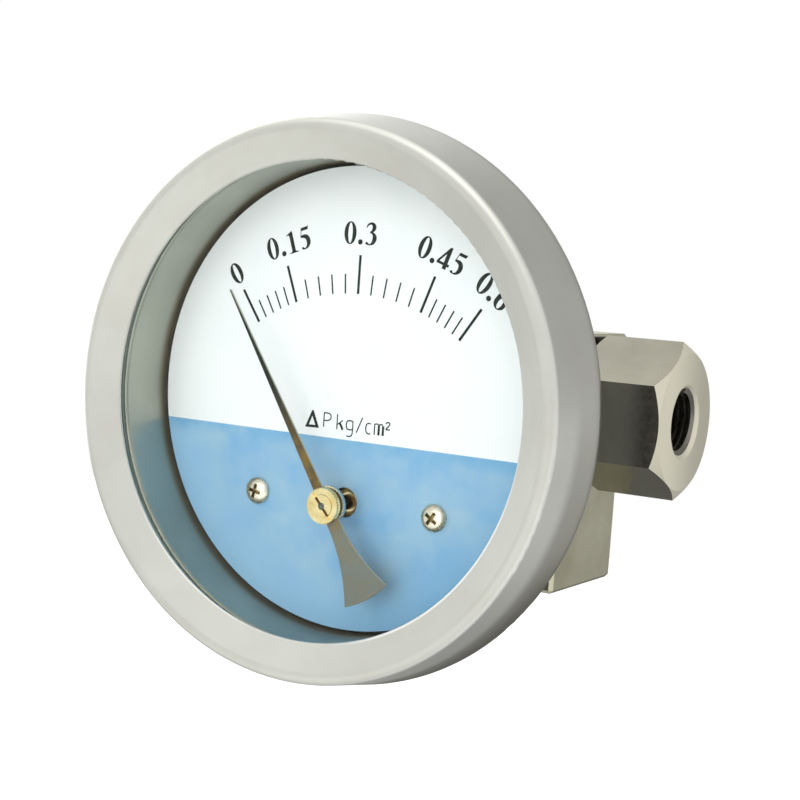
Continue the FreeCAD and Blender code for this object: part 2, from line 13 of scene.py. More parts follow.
import bmesh
import bpy
from mathutils import Matrix, Vector
from mathutils.geometry import tessellate_polygon

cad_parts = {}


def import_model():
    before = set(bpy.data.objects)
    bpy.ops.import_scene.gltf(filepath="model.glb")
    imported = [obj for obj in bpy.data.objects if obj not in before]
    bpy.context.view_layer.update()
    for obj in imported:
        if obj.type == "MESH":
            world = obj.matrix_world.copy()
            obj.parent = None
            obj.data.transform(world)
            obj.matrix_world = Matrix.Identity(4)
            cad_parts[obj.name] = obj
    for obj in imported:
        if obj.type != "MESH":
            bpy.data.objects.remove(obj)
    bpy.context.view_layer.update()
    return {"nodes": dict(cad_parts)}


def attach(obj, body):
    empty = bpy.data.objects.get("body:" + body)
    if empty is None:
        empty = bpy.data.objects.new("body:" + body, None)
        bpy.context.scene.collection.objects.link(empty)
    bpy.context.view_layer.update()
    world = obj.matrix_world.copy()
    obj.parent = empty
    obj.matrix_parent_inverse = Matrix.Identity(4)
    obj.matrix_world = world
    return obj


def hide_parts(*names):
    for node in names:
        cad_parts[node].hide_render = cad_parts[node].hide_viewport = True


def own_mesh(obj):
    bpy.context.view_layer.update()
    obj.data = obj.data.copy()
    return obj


log = logging.getLogger("gauge")

MM = 0.001
# Heights of the case axis and the pivot, depths of the port axis and the dial's face, in the part's frame.
CASE_Z = -1.35
PIVOT_Z = -22.5
PORT_Y = -14.0
DIAL_Y = -33.4
# The dial screws lie this far to either side of the case axis and as far below it.
SCREW_OFFSET = 21.4
# Span that most values of a noise fall in.
COMMON = (0.3, 0.7)
WHITE = (1.0, 1.0, 1.0, 1.0)
Point = tuple[float, float]
Place = tuple[float, float, float]
Loop = list[Point]
Shape = list[Loop]
Socket = bpy.types.NodeSocket


# Small helpers


def linear(hex_code: str) -> tuple[float, float, float, float]:
    """Turn an sRGB hex colour into linear RGBA.

    Args:
        hex_code: six hex digits.

    Returns:
        Red, green, blue and an alpha of one.
    """
    parts = [int(hex_code[i:i + 2], 16) / 255.0 for i in (0, 2, 4)]
    red, green, blue = (c / 12.92 if c <= 0.04045 else ((c + 0.055) / 1.055) ** 2.4 for c in parts)
    return (red, green, blue, 1.0)


def add_node(tree: bpy.types.NodeTree, kind: str, settings: Optional[dict[str, Any]] = None,
             sockets: Optional[dict[Any, Any]] = None) -> bpy.types.Node:
    """Add a node, set its properties and fill its input sockets.

    Args:
        tree: the tree that gets the node.
        kind: the node type.
        settings: properties by name.
        sockets: inputs by name or number, each a value or the output that feeds it.

    Returns:
        The new node.
    """
    node = tree.nodes.new(kind)
    for key, value in (settings or {}).items():
        setattr(node, key, value)
    for key, value in (sockets or {}).items():
        if isinstance(value, Socket):
            tree.links.new(value, node.inputs[key])
        else:
            node.inputs[key].default_value = value
    return node


def add_object(name: str, data: bpy.types.ID) -> bpy.types.Object:
    """Link a new object to the scene.

    Args:
        name: the object's name.
        data: its mesh, light or camera.

    Returns:
        The new object.
    """
    made = bpy.data.objects.new(name, data)
    bpy.context.scene.collection.objects.link(made)
    return made


def add_piece(name: str, mesh: bpy.types.Mesh, material: bpy.types.Material, body: str) -> bpy.types.Object:
    """Link a finished mesh as a piece that rides on a body.

    Args:
        name: the piece's name.
        mesh: the mesh, in place in the part's frame.
        material: its finish.
        body: the body that carries it.

    Returns:
        The new object.
    """
    mesh.name = name
    mesh.materials.clear()
    mesh.materials.append(material)
    piece = add_object(name, mesh)
    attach(piece, body)
    log.info("piece %s: %d faces on %s", name, len(mesh.polygons), body)
    return piece


def run_nodes(tree: bpy.types.NodeTree, base: bpy.types.Mesh, values: dict[str, Any]) -> bpy.types.Mesh:
    """Run a Geometry Nodes tree on a base mesh and keep the result as a plain mesh.

    Args:
        tree: the tree, with named inputs.
        base: the mesh that it starts from.
        values: input values by name.

    Returns:
        The mesh that the tree makes.
    """
    holder = add_object("holder", base)
    modifier = holder.modifiers.new("nodes", "NODES")
    modifier.node_group = tree
    for item in tree.interface.items_tree:
        if item.in_out == "INPUT" and item.name in values:
            modifier[item.identifier] = values[item.name]
    holder.update_tag()
    graph = bpy.context.evaluated_depsgraph_get()
    mesh = bpy.data.meshes.new_from_object(holder.evaluated_get(graph))
    holder.modifiers.remove(modifier)
    bpy.data.objects.remove(holder)
    return mesh


# Finishes


class Lay(Enum):
    """Direction of tool marks or, where they are rings, their axis and a point on it in millimetres."""

    ROUND_CASE = ((0.0, 1.0, 0.0), (0.0, 0.0, CASE_Z))
    ROUND_PIVOT = ((0.0, 1.0, 0.0), (0.0, 0.0, PIVOT_Z))
    ROUND_PORT = ((1.0, 0.0, 0.0), (0.0, PORT_Y, 0.0))
    ROUND_SCREWS = ((0.0, 1.0, 0.0), (SCREW_OFFSET, 0.0, CASE_Z - SCREW_OFFSET))
    ALONG_X = ((1.0, 0.0, 0.0), None)
    ALONG_Z = ((0.0, 0.0, 1.0), None)
    EVEN = ((0.0, 0.0, 0.0), None)


class Way(Enum):
    """Ways that a place is measured, the first three in the order of the coordinates."""

    ACROSS = 0
    DEPTH = 1
    HEIGHT = 2
    EITHER_SIDE = 3


@dataclass(frozen=True)
class Shading:
    """Nodes of one shader tree: each method adds what it names and gives the output to go on from."""

    tree: bpy.types.NodeTree

    def place(self) -> Socket:
        """Place on the object, in metres."""
        return add_node(self.tree, "ShaderNodeTexCoord").outputs["Object"]

    def split(self, vector: Socket) -> list[Socket]:
        """The three coordinates of a vector."""
        return list(add_node(self.tree, "ShaderNodeSeparateXYZ", None, {0: vector}).outputs)

    def math(self, operation: str, *values: Any) -> Socket:
        """Number worked out from numbers."""
        sockets = dict(enumerate(values))
        return add_node(self.tree, "ShaderNodeMath", {"operation": operation}, sockets).outputs[0]

    def vector(self, operation: str, *values: Any) -> Socket:
        """Vector worked out from vectors."""
        sockets = dict(enumerate(values))
        return add_node(self.tree, "ShaderNodeVectorMath", {"operation": operation}, sockets).outputs[0]

    def measure(self, operation: str, *values: Any) -> Socket:
        """Number worked out from vectors."""
        sockets = dict(enumerate(values))
        return add_node(self.tree, "ShaderNodeVectorMath", {"operation": operation}, sockets).outputs[1]

    def scaled(self, vector: Any, factor: Any) -> Socket:
        """Vector made longer or shorter."""
        sockets = {0: vector, "Scale": factor}
        return add_node(self.tree, "ShaderNodeVectorMath", {"operation": "SCALE"}, sockets).outputs[0]

    def facing(self, way: Place) -> Socket:
        """How far a face looks one way, as a cosine."""
        normal = add_node(self.tree, "ShaderNodeNewGeometry").outputs["True Normal"]
        return self.measure("DOT_PRODUCT", normal, way)

    def measured(self, by: Any) -> Socket:
        """Place on the object along a Way, or its distance from the axis of a Lay, in metres.

        For a Lay, left and right count as the same, so that one axis serves a pair.

        Args:
            by: the Way or the Lay.

        Returns:
            The measure.
        """
        spot = self.split(self.place())
        if by in (Way.ACROSS, Way.DEPTH, Way.HEIGHT):
            return spot[by.value]
        aside = self.math("ABSOLUTE", spot[0])
        if by is Way.EITHER_SIDE:
            return aside
        axis, centre = by.value
        sockets = {"X": aside, "Y": spot[1], "Z": spot[2]}
        folded = add_node(self.tree, "ShaderNodeCombineXYZ", None, sockets).outputs[0]
        flat = self.vector("MULTIPLY", folded, tuple(1.0 - a for a in axis))
        return self.measure("DISTANCE", flat, tuple(c * MM for c in centre))

    def ramp(self, value: Socket, span: Point, to: Point = (0.0, 1.0), smooth: bool = False) -> Socket:
        """Number carried from one span to another and held at the ends.

        Args:
            value: the number.
            span: where it starts and ends.
            to: what it becomes there.
            smooth: whether it eases in and out.

        Returns:
            The new number.
        """
        return add_node(self.tree, "ShaderNodeMapRange",
                        {"interpolation_type": "SMOOTHSTEP" if smooth else "LINEAR"},
                        {"Value": value, "From Min": span[0], "From Max": span[1],
                         "To Min": to[0], "To Max": to[1]}).outputs[0]

    def fade(self, value: Socket, span_mm: Point) -> Socket:
        """Smooth share that is none at one place along a line and whole at another."""
        return self.ramp(value, (span_mm[0] * MM, span_mm[1] * MM), smooth=True)

    def all_of(self, *shares: Socket) -> Socket:
        """Share that is whole only where all of several are.

        Args:
            shares: two or more shares.

        Returns:
            Their product.
        """
        product = shares[0]
        for share in shares[1:]:
            product = self.math("MULTIPLY", product, share)
        return product

    def within(self, spans: tuple[tuple[Any, Point], ...]) -> Socket:
        """Share that is whole where every measure has passed its span."""
        return self.all_of(*(self.fade(self.measured(by), span_mm) for by, span_mm in spans))

    def noise(self, vector: Socket, scale: float, detail: float = 3.0, roughness: float = 0.6) -> Socket:
        """Fractal noise on a vector, from 0 to 1."""
        sockets = {"Vector": vector, "Scale": scale, "Detail": detail, "Roughness": roughness}
        return add_node(self.tree, "ShaderNodeTexNoise", None, sockets).outputs[0]

    def grain(self, size_mm: float, detail: float = 3.0, roughness: float = 0.6) -> Socket:
        """Noise on the object, in spots of a real size."""
        return self.noise(self.place(), 1.0 / (size_mm * MM), detail, roughness)

    def mix(self, share: Socket, below: Any, above: Any) -> Socket:
        """One colour over another.

        Args:
            share: how much of the upper one shows.
            below: the lower colour, an output or an sRGB hex code.
            above: the upper colour, likewise.

        Returns:
            The mixed colour.
        """
        low, high = (linear(tone) if isinstance(tone, str) else tone for tone in (below, above))
        # Inputs 6 and 7 and output 2 are the node's colours.
        sockets = {0: share, 6: low, 7: high}
        return add_node(self.tree, "ShaderNodeMix", {"data_type": "RGBA"}, sockets).outputs[2]

    def mix_value(self, share: Socket, below: Any, above: Any) -> Socket:
        """One number over another."""
        # Inputs 2 and 3 and output 0 are the node's numbers.
        sockets = {0: share, 2: below, 3: above}
        return add_node(self.tree, "ShaderNodeMix", {"data_type": "FLOAT"}, sockets).outputs[0]

    def bump(self, height: Socket, depth_mm: float, strength: float = 1.0,
             under: Optional[Socket] = None) -> Socket:
        """Normal of a relief.

        Args:
            height: the relief's height, from 0 to 1.
            depth_mm: what a height of one stands for.
            strength: how much of the relief shows.
            under: normal of a form that lies under it.

        Returns:
            The normal.
        """
        sockets = {"Strength": strength, "Distance": depth_mm * MM, "Height": height}
        if under is not None:
            sockets["Normal"] = under
        return add_node(self.tree, "ShaderNodeBump", None, sockets).outputs[0]

    def rays(self) -> tuple[Socket, Socket]:
        """Whether a ray is seen, straight or through glass, and whether it is mirrored."""
        path = add_node(self.tree, "ShaderNodeLightPath").outputs
        return self.math("MAXIMUM", path["Is Camera Ray"], path["Is Transmission Ray"]), path["Is Glossy Ray"]

    def principled(self, sockets: dict[str, Any]) -> Socket:
        """Principled shader with some of its sockets filled."""
        return add_node(self.tree, "ShaderNodeBsdfPrincipled", None, sockets).outputs[0]

    def close(self, shader: Socket) -> None:
        """End the tree in a shader."""
        add_node(self.tree, "ShaderNodeOutputMaterial", None, {"Surface": shader})


@dataclass(frozen=True)
class Layer:
    """Colour, and roughness where it differs, over a share of a surface."""

    share: Socket
    colour: Any
    roughness: Optional[float] = None


@dataclass(frozen=True)
class Veil:
    """Colour, and roughness where it differs, where every measure has passed its span in millimetres."""

    colour: str
    spans: tuple[tuple[Any, Point], ...]
    roughness: Optional[float] = None


class Finish:
    """Named finish, which makes its material once."""

    name: str

    def shade(self, nodes: Shading) -> None:
        """Fill the material's tree."""
        raise NotImplementedError

    def material(self) -> bpy.types.Material:
        """The finish's material, made when it is first asked for.

        Returns:
            The material.
        """
        material = bpy.data.materials.get(self.name)
        if material is None:
            material = bpy.data.materials.new(self.name)
            material.use_nodes = True
            material.node_tree.nodes.clear()
            self.shade(Shading(material.node_tree))
        return material


@dataclass(frozen=True)
class MetalFinish(Finish):
    """Bare or plated metal with its tool marks, thin stains and changes of gloss."""

    name: str
    colour: str
    stain: str
    roughness: float
    swing: float
    lay: Lay
    mark_mm: float
    depth_mm: float
    stain_mm: float = 14.0
    streak: float = 30.0
    stain_span: Point = (0.35, 0.75)
    round_scale: float = 3.0
    veils: tuple[Veil, ...] = ()

    def marks(self, nodes: Shading) -> Socket:
        """Place on the object, stretched so that noise on it runs with the tool marks.

        Args:
            nodes: the material's nodes.

        Returns:
            The stretched place.
        """
        fine = 1.0 / (self.mark_mm * MM)
        axis, centre = self.lay.value
        if centre is None:
            stretch = tuple(fine / (1.0 + a * (self.streak - 1.0)) for a in axis)
            return nodes.vector("MULTIPLY", nodes.place(), stretch)
        local = nodes.vector("SUBTRACT", nodes.place(), tuple(c * MM for c in centre))
        flat = nodes.vector("MULTIPLY", local, tuple(1.0 - a for a in axis))
        run = nodes.math("ADD", nodes.measure("LENGTH", flat), nodes.measure("DOT_PRODUCT", local, axis))
        rings = nodes.scaled(nodes.scaled(axis, run), fine)
        return nodes.vector("ADD", rings, nodes.scaled(nodes.vector("NORMALIZE", flat), self.round_scale))

    def relief(self, nodes: Shading) -> Optional[Socket]:
        """Normal of any form that lies under the tool marks, here none."""
        return None

    def layers(self, nodes: Shading) -> list[Layer]:
        """What lies over the metal, from the bottom up."""
        return [Layer(nodes.within(veil.spans), veil.colour, veil.roughness) for veil in self.veils]

    def shade(self, nodes: Shading) -> None:
        """Stain and mark the metal and lay over it what it has.

        Args:
            nodes: the material's nodes.
        """
        marks = nodes.noise(self.marks(nodes), 1.0)
        cloud = nodes.grain(self.stain_mm, detail=4.0, roughness=0.55)
        tone = nodes.mix(nodes.ramp(cloud, self.stain_span), self.colour, self.stain)
        gloss = nodes.ramp(marks, COMMON, (self.roughness - self.swing, self.roughness + self.swing))
        normal = nodes.bump(marks, self.depth_mm, under=self.relief(nodes))
        for layer in self.layers(nodes):
            tone = nodes.mix(layer.share, tone, layer.colour)
            if layer.roughness is not None:
                gloss = nodes.mix_value(layer.share, gloss, layer.roughness)
        nodes.close(nodes.principled(
            {"Base Color": tone, "Metallic": 1.0, "Roughness": gloss, "Normal": normal}))


@dataclass(frozen=True)
class FacedBarFinish(MetalFinish):
    """Drawn bars left and right: pale matt faced ends, with painted light and shade on ends, crown, foot and
    front flats.
    """

    # The ends' back, crown, foot and front-flat tones carry painted light and shade.
    end_colour: str = "F5F1E0"
    end_shaded_colour: str = "D0CDBD"
    end_shade_span_mm: Point = (-24.0, -3.0)
    end_roughness: float = 0.68
    end_looks: Point = (0.88, 0.95)
    crown_shaded_colour: str = "E2DECE"
    crown_looks: Point = (0.2, 0.4)
    foot_shade_colour: str = "2A2822"
    foot_shade_looks: Point = (-0.1, -0.3)
    front_shade_colour: str = "383832"
    shade_roughness: float = 0.55
    front_shade_looks: Point = (0.9, 0.97)
    front_shade_break_mm: float = 1.1
    front_shade_left: Point = (1.0, 0.88)
    front_shade_light_colour: str = "B4B1A5"
    front_shade_grade_mm: Point = (51.8, 62.0)
    turned_mm: float = 0.5
    turned_depth_mm: float = 0.07

    def looking(self, nodes: Shading, span: Point) -> Socket:
        """Share of faces that look along the bar, away from the body or, below zero, back to it.

        Args:
            nodes: the material's nodes.
            span: how far along a face looks, as a cosine, where the share starts and is whole.

        Returns:
            The share, from 0 to 1.
        """
        side = nodes.math("SIGN", nodes.measured(Way.ACROSS))
        return nodes.ramp(nodes.math("MULTIPLY", nodes.facing(self.lay.value[0]), side), span)

    def relief(self, nodes: Shading) -> Optional[Socket]:
        """Rings of the lathe on the faced ends, drawn coarser than real ones so that they show.

        Args:
            nodes: the material's nodes.

        Returns:
            The rings' normal.
        """
        turned = replace(self, lay=Lay.ROUND_PORT, mark_mm=self.turned_mm)
        rings = nodes.noise(turned.marks(nodes), 1.0, detail=2.0, roughness=0.5)
        return nodes.bump(nodes.all_of(rings, self.looking(nodes, self.end_looks)), self.turned_depth_mm)

    def layers(self, nodes: Shading) -> list[Layer]:
        """Painted dark reflection on the front flats, crown in painted shade, pale ends painted lighter to
        the front, foot in painted shade.

        Args:
            nodes: the material's nodes.

        Returns:
            The layers, from the bottom up.
        """
        # Painted dark reflection on the front flats, lighter near the body and broken up by noise.
        front = nodes.ramp(nodes.facing((0.0, -1.0, 0.0)), self.front_shade_looks)
        shade_break = nodes.grain(self.front_shade_break_mm, detail=4.0, roughness=0.65)
        front_shade = nodes.all_of(front, nodes.ramp(shade_break, COMMON, self.front_shade_left))
        outward = nodes.fade(nodes.measured(Way.EITHER_SIDE), self.front_shade_grade_mm)
        shade_tone = nodes.mix(outward, self.front_shade_light_colour, self.front_shade_colour)
        # Painted light: the ends are lighter to the front and darker behind.
        backward = nodes.fade(nodes.measured(Way.DEPTH), self.end_shade_span_mm)
        faced = nodes.mix(backward, self.end_colour, self.end_shaded_colour)
        # The crown is a darker copy of the ends and the foot is dark, as painted shade.
        return [
            Layer(front_shade, shade_tone, self.shade_roughness),
            Layer(self.looking(nodes, self.crown_looks), self.crown_shaded_colour, self.end_roughness),
            Layer(self.looking(nodes, self.end_looks), faced, self.end_roughness),
            Layer(self.looking(nodes, self.foot_shade_looks), self.foot_shade_colour, self.shade_roughness),
        ]


@dataclass(frozen=True)
class DrawnPanFinish(MetalFinish):
    """Deep-drawn pan: its wall rolls over into the flange."""

    front_mm: float = -46.6
    bend_mm: float = 1.7
    bend_share: float = 0.97

    def relief(self, nodes: Shading) -> Optional[Socket]:
        """Bend between wall and flange, whose normals turn as on a rounded edge.

        Args:
            nodes: the material's nodes.

        Returns:
            The bend's normal.
        """
        depth = nodes.measured(Way.DEPTH)
        span = ((self.front_mm + self.bend_mm) * MM, self.front_mm * MM)
        run = nodes.ramp(depth, span, (0.0, self.bend_share))
        arc = nodes.math("SQRT", nodes.math("SUBTRACT", 1.0, nodes.math("MULTIPLY", run, run)))
        return nodes.bump(arc, self.bend_mm)


@dataclass(frozen=True)
class CoatFinish(Finish):
    """Paint, ink or rubber: one colour with a faint mottle, its own grain and gloss."""

    name: str
    colour: str
    mottle: str
    roughness: float
    grain_mm: float
    depth_mm: float
    shine: float = 0.5
    swing: float = 0.08
    grain_strength: float = 0.6

    def shade(self, nodes: Shading) -> None:
        """Mottle and grain the coat.

        Args:
            nodes: the material's nodes.
        """
        grain = nodes.grain(self.grain_mm, detail=4.0)
        gloss = nodes.ramp(grain, (0.0, 1.0), (self.roughness - self.swing, self.roughness + self.swing))
        nodes.close(nodes.principled({
            "Base Color": nodes.mix(grain, self.colour, self.mottle), "Roughness": gloss,
            "Normal": nodes.bump(grain, self.depth_mm, self.grain_strength),
            "Specular IOR Level": self.shine}))


@dataclass(frozen=True)
class PrintedSheet(Finish):
    """Aluminium sheet, silk-screened white above a level line and blue below it."""

    name: str = "screen_printed_aluminium"
    white: str = "F5F7F8"
    off_white: str = "ECF1F3"
    blue: str = "7BADD4"
    pale_blue: str = "97BBD3"
    cloud_mm: float = 9.0
    cloud_span: Point = (0.33, 0.67)
    rim_lit_left: str = "99C6E9"
    rim_right: str = "74B1DD"
    rim_mm: Point = (33.0, 47.0)
    rim_share: float = 0.8
    side_span_mm: Point = (-20.0, 30.0)
    deep_blue: str = "62A4D0"
    patch_mm: float = 5.0
    patch_span: Point = (0.35, 0.7)
    patch_share: Point = (0.1, 0.9)
    line_mm: float = -9.66
    line_soft_mm: float = 0.06
    band_mm: float = 4.0
    peel_mm: float = 0.5
    peel_depth_mm: float = 0.01
    peel_strength: float = 0.3
    gloss: Point = (0.42, 0.58)

    def shade(self, nodes: Shading) -> None:
        """Print the two fields, each in its clouds of ink.

        Args:
            nodes: the material's nodes.
        """
        across, _, height = nodes.split(nodes.place())
        # Printed ink lies in soft clouds about a centimetre wide.
        cloud = nodes.grain(self.cloud_mm, detail=4.0)
        white = nodes.mix(cloud, self.white, self.off_white)
        clouded = nodes.mix(nodes.ramp(cloud, self.cloud_span), self.blue, self.pale_blue)
        # Towards the rim it is painted paler on the left, as light against the case wall's shade, and deeper
        # blue on the right.
        radius = nodes.measure("DISTANCE", nodes.place(), (0.0, DIAL_Y * MM, CASE_Z * MM))
        rim_span = (self.rim_mm[0] * MM, self.rim_mm[1] * MM)
        outward = nodes.ramp(radius, rim_span, (0.0, self.rim_share), smooth=True)
        rim = nodes.mix(nodes.fade(across, self.side_span_mm), self.rim_lit_left, self.rim_right)
        rimmed = nodes.mix(outward, clouded, rim)
        # The ink is laid thickest just under the line.
        under = nodes.fade(height, (self.line_mm - self.band_mm, self.line_mm))
        patch = nodes.ramp(nodes.grain(self.patch_mm), self.patch_span, self.patch_share)
        lower = nodes.mix(nodes.all_of(under, patch), rimmed, self.deep_blue)
        line_span = ((self.line_mm - self.line_soft_mm) * MM, (self.line_mm + self.line_soft_mm) * MM)
        # A screen print has a fine orange-peel skin, about half a millimetre across.
        peel = nodes.grain(self.peel_mm, detail=2.0, roughness=0.5)
        nodes.close(nodes.principled({
            "Base Color": nodes.mix(nodes.ramp(height, line_span), lower, white),
            "Roughness": nodes.ramp(peel, (0.0, 1.0), self.gloss),
            "Normal": nodes.bump(peel, self.peel_depth_mm, self.peel_strength)}))


@dataclass(frozen=True)
class LacqueredBlade(Finish):
    """Dark lacquer on the pointer, near black at the tip, olive with golden blotches towards the hub and grey
    on the tail.
    """

    name: str = "lacquered_aluminium_sheet"
    stops: tuple[tuple[float, str], ...] = (
        (0.0, "70756D"), (0.2, "70756D"), (0.34, "52462B"), (0.5, "52462B"), (0.66, "1E2318"),
        (1.0, "0F1B15"))
    bare: str = "86692C"
    edge: str = "AEAF9F"
    edge_looks: float = 0.5
    rest_deg: float = -32.9
    reach_mm: float = 49.5
    tail_mm: float = 20.7
    wipe_mm: float = 0.9
    wipe_depth_mm: float = 0.01
    wipe_strength: float = 0.4
    gloss: Point = (0.28, 0.5)
    shine: float = 0.25
    blotch_mm: float = 1.8
    blotch_span: Point = (0.45, 0.65)
    blotch_share: Point = (0.0, 0.85)
    hub_span: Point = (0.62, 0.42)
    tail_span: Point = (0.05, 0.33)
    tail_share: Point = (0.2, 1.0)

    def shade(self, nodes: Shading) -> None:
        """Grade the colour from tail to tip, blotch it golden near the hub and bare the edges.

        Args:
            nodes: the material's nodes.
        """
        rest = math.radians(self.rest_deg)
        local = nodes.vector("SUBTRACT", nodes.place(), (0.0, 0.0, PIVOT_Z * MM))
        along = nodes.measure("DOT_PRODUCT", local, (math.sin(rest), 0.0, math.cos(rest)))
        share = nodes.ramp(along, (-self.tail_mm * MM, self.reach_mm * MM))
        graded = add_node(nodes.tree, "ShaderNodeValToRGB", None, {0: share})
        for spot, _ in self.stops[1:-1]:
            graded.color_ramp.elements.new(spot)
        for element, (spot, hex_code) in zip(graded.color_ramp.elements, self.stops):
            element.position = spot
            element.color = linear(hex_code)
        # Near the hub it turns golden in blotches a millimetre or two wide.
        blotch = nodes.grain(self.blotch_mm, detail=4.0, roughness=0.65)
        hub_blotches = nodes.all_of(nodes.ramp(share, self.hub_span, smooth=True),
                            nodes.ramp(share, self.tail_span, self.tail_share, smooth=True),
                            nodes.ramp(blotch, self.blotch_span, self.blotch_share))
        lacquer = nodes.mix(hub_blotches, graded.outputs[0], self.bare)
        # The sheared edges are bare.
        flat = nodes.math("ABSOLUTE", nodes.facing((0.0, 1.0, 0.0)))
        sheared = nodes.math("LESS_THAN", flat, self.edge_looks)
        # Wiped lacquer is left with a faint mottle, in spots of just under a millimetre.
        wipe = nodes.grain(self.wipe_mm)
        nodes.close(nodes.principled({
            "Base Color": nodes.mix(sheared, lacquer, self.edge),
            "Roughness": nodes.ramp(wipe, (0.0, 1.0), self.gloss), "Specular IOR Level": self.shine,
            "Normal": nodes.bump(wipe, self.wipe_depth_mm, self.wipe_strength)}))


@dataclass(frozen=True)
class WindowGlass(Finish):
    """Flat clear glass, coated against reflections, that lets lamp light through to the dial."""

    name: str = "float_glass"
    colour: str = "FBFDFC"
    ior: float = 1.45
    mirror: tuple[float, float, float, float] = (0.1, 0.1, 0.1, 1.0)
    haze_mm: float = 20.0
    haze: Point = (0.0, 0.015)

    def shade(self, nodes: Shading) -> None:
        """Clear glass with a faint haze, and no shadow of its own.

        Args:
            nodes: the material's nodes.
        """
        # Wiping leaves haze in clouds of about two centimetres.
        gloss = nodes.ramp(nodes.grain(self.haze_mm, roughness=0.5), (0.0, 1.0), self.haze)
        glass = nodes.principled({"Base Color": linear(self.colour), "Roughness": gloss, "IOR": self.ior,
                                  "Specular Tint": self.mirror, "Transmission Weight": 1.0})
        clear = add_node(nodes.tree, "ShaderNodeBsdfTransparent", None, {"Color": linear(self.colour)})
        path = add_node(nodes.tree, "ShaderNodeLightPath")
        both = add_node(nodes.tree, "ShaderNodeMixShader", None,
                        {0: path.outputs["Is Shadow Ray"], 1: glass, 2: clear.outputs[0]})
        nodes.close(both.outputs[0])


# Each metal: name, colour, stain, roughness and its swing, lay, width and depth of its marks, size of its
# stains. Each coat: name, colour, mottle, roughness, size and depth of its grain, shine.
# Tones of painted highlight and painted shade, and the outer side of the ring.
PAINTED_HIGHLIGHT = "FBFBF7"
PAINTED_SHADE = "9C9A90"
SKIRT = (Lay.ROUND_CASE, (54.3, 55.0))
# Satin stainless sheet, linished round the ring: an even pale grey with faint rings in the gloss.
RING_STEEL = MetalFinish(
    "linished_stainless_sheet", "D2D3CB", "CBCBC2", 0.36, 0.05, Lay.ROUND_CASE, 0.35, 0.0015, veils=(
        # Painted shade: it darkens towards its rolled hem.
        Veil(PAINTED_SHADE, ((Way.DEPTH, (-40.8, -36.8)),)),
        # Below, its skirt has a painted highlight in front and painted shade behind.
        Veil(PAINTED_HIGHLIGHT, ((Way.HEIGHT, (12.0, -18.0)), (Way.DEPTH, (-44.0, -47.5)), SKIRT)),
        Veil(PAINTED_SHADE, ((Way.HEIGHT, (-18.0, -36.0)), (Way.DEPTH, (-46.5, -39.5)), SKIRT)),
        # Its lip has a painted highlight at the lower right, and is glossier there.
        Veil(PAINTED_HIGHLIGHT, ((Lay.ROUND_CASE, (47.65, 47.35)), (Way.ACROSS, (8.0, 24.0)),
                      (Way.HEIGHT, (-2.0, -24.0))), 0.3)))
# Deep-drawn stainless sheet, not linished: greyer, with faint rings round the wall.
CASE_STEEL = DrawnPanFinish(
    "drawn_stainless_sheet", "B0B2A5", "A0A296", 0.36, 0.05, Lay.ROUND_CASE, 0.5, 0.002, veils=(
        # Its inner wall is painted darker and brown as shade where it nears the dial and behind it, and is
        # rougher there.
        Veil("9A917A", ((Lay.ROUND_CASE, (48.6, 48.4)), (Way.DEPTH, (-28.8, -29.8)),
                        (Way.DEPTH, (DIAL_Y - 2.6, DIAL_Y))), 0.8),))
# Milled and fine-sanded stainless block: warm grey with straight upright marks.
BODY_STEEL = MetalFinish(
    "milled_stainless_block", "D6D3BA", "BDB99F", 0.34, 0.08, Lay.ALONG_Z, 0.3, 0.003, veils=(
        # Painted shade lies on its ends, in the corner above each fitting.
        Veil("1E1C16", ((Lay.ROUND_PORT, (18.5, 16.5)), (Way.HEIGHT, (4.0, 8.0)),
                        (Way.EITHER_SIDE, (44.8, 44.9)))),))
# Bright-drawn stainless hexagon bar: glossier, with drawing lines along the bar.
HEX_STEEL = FacedBarFinish(
    "bright_drawn_stainless_bar", "AEAB9B", "9C9888", 0.14, 0.04, Lay.ALONG_X, 0.25, 0.0015)
# Cut thread, left as it came off the tap: darker steel with rings of torn gloss.
THREAD_STEEL = MetalFinish(
    "tapped_stainless_thread", "8C8980", "6A675E", 0.3, 0.08, Lay.ROUND_PORT, 0.2, 0.003)
# Ground stainless rod: fine rings and an even sheen.
PISTON_STEEL = MetalFinish(
    "ground_stainless_piston", "D0D0CC", "C2C2BC", 0.2, 0.05, Lay.ROUND_PORT, 0.2, 0.001)
# Ground silver-steel rod for the spindle.
SPINDLE_STEEL = MetalFinish(
    "ground_silver_steel", "74776F", "63665E", 0.25, 0.05, Lay.ROUND_PIVOT, 0.15, 0.001, 4.0)
# Drawn spring wire, oil-dark.
SPRING_STEEL = MetalFinish("flat_spring_wire", "8C8C88", "74726A", 0.32, 0.07, Lay.EVEN, 0.4, 0.002, 5.0)
# Ground magnet alloy: dark, matt and slightly grainy.
MAGNET_ALLOY = MetalFinish("ground_magnet_alloy", "6A6A6C", "565658", 0.5, 0.08, Lay.EVEN, 0.35, 0.004, 4.0)
# Turned bearing bronze: brown and dull, with rings from the lathe.
PLATE_BRONZE = MetalFinish(
    "turned_bearing_bronze", "8F7F4A", "6E6038", 0.36, 0.07, Lay.ROUND_PIVOT, 0.3, 0.003)
# Bright turned brass: pale yellow and glossy, with fine rings.
HUB_BRASS = MetalFinish(
    "bright_turned_brass", "EADDAC", "D8BE78", 0.22, 0.06, Lay.ROUND_PIVOT, 0.25, 0.002, 3.0, veils=(
        # Its recess is painted dark, as shade.
        Veil("8C6A32", ((Lay.ROUND_PIVOT, (2.4, 2.3)), (Way.DEPTH, (-41.75, -41.55)))),))
# Turned brass inside the case, duller.
PLAIN_BRASS = MetalFinish("turned_brass", "D8BE7E", "B79A58", 0.32, 0.07, Lay.ROUND_PIVOT, 0.25, 0.002, 5.0)
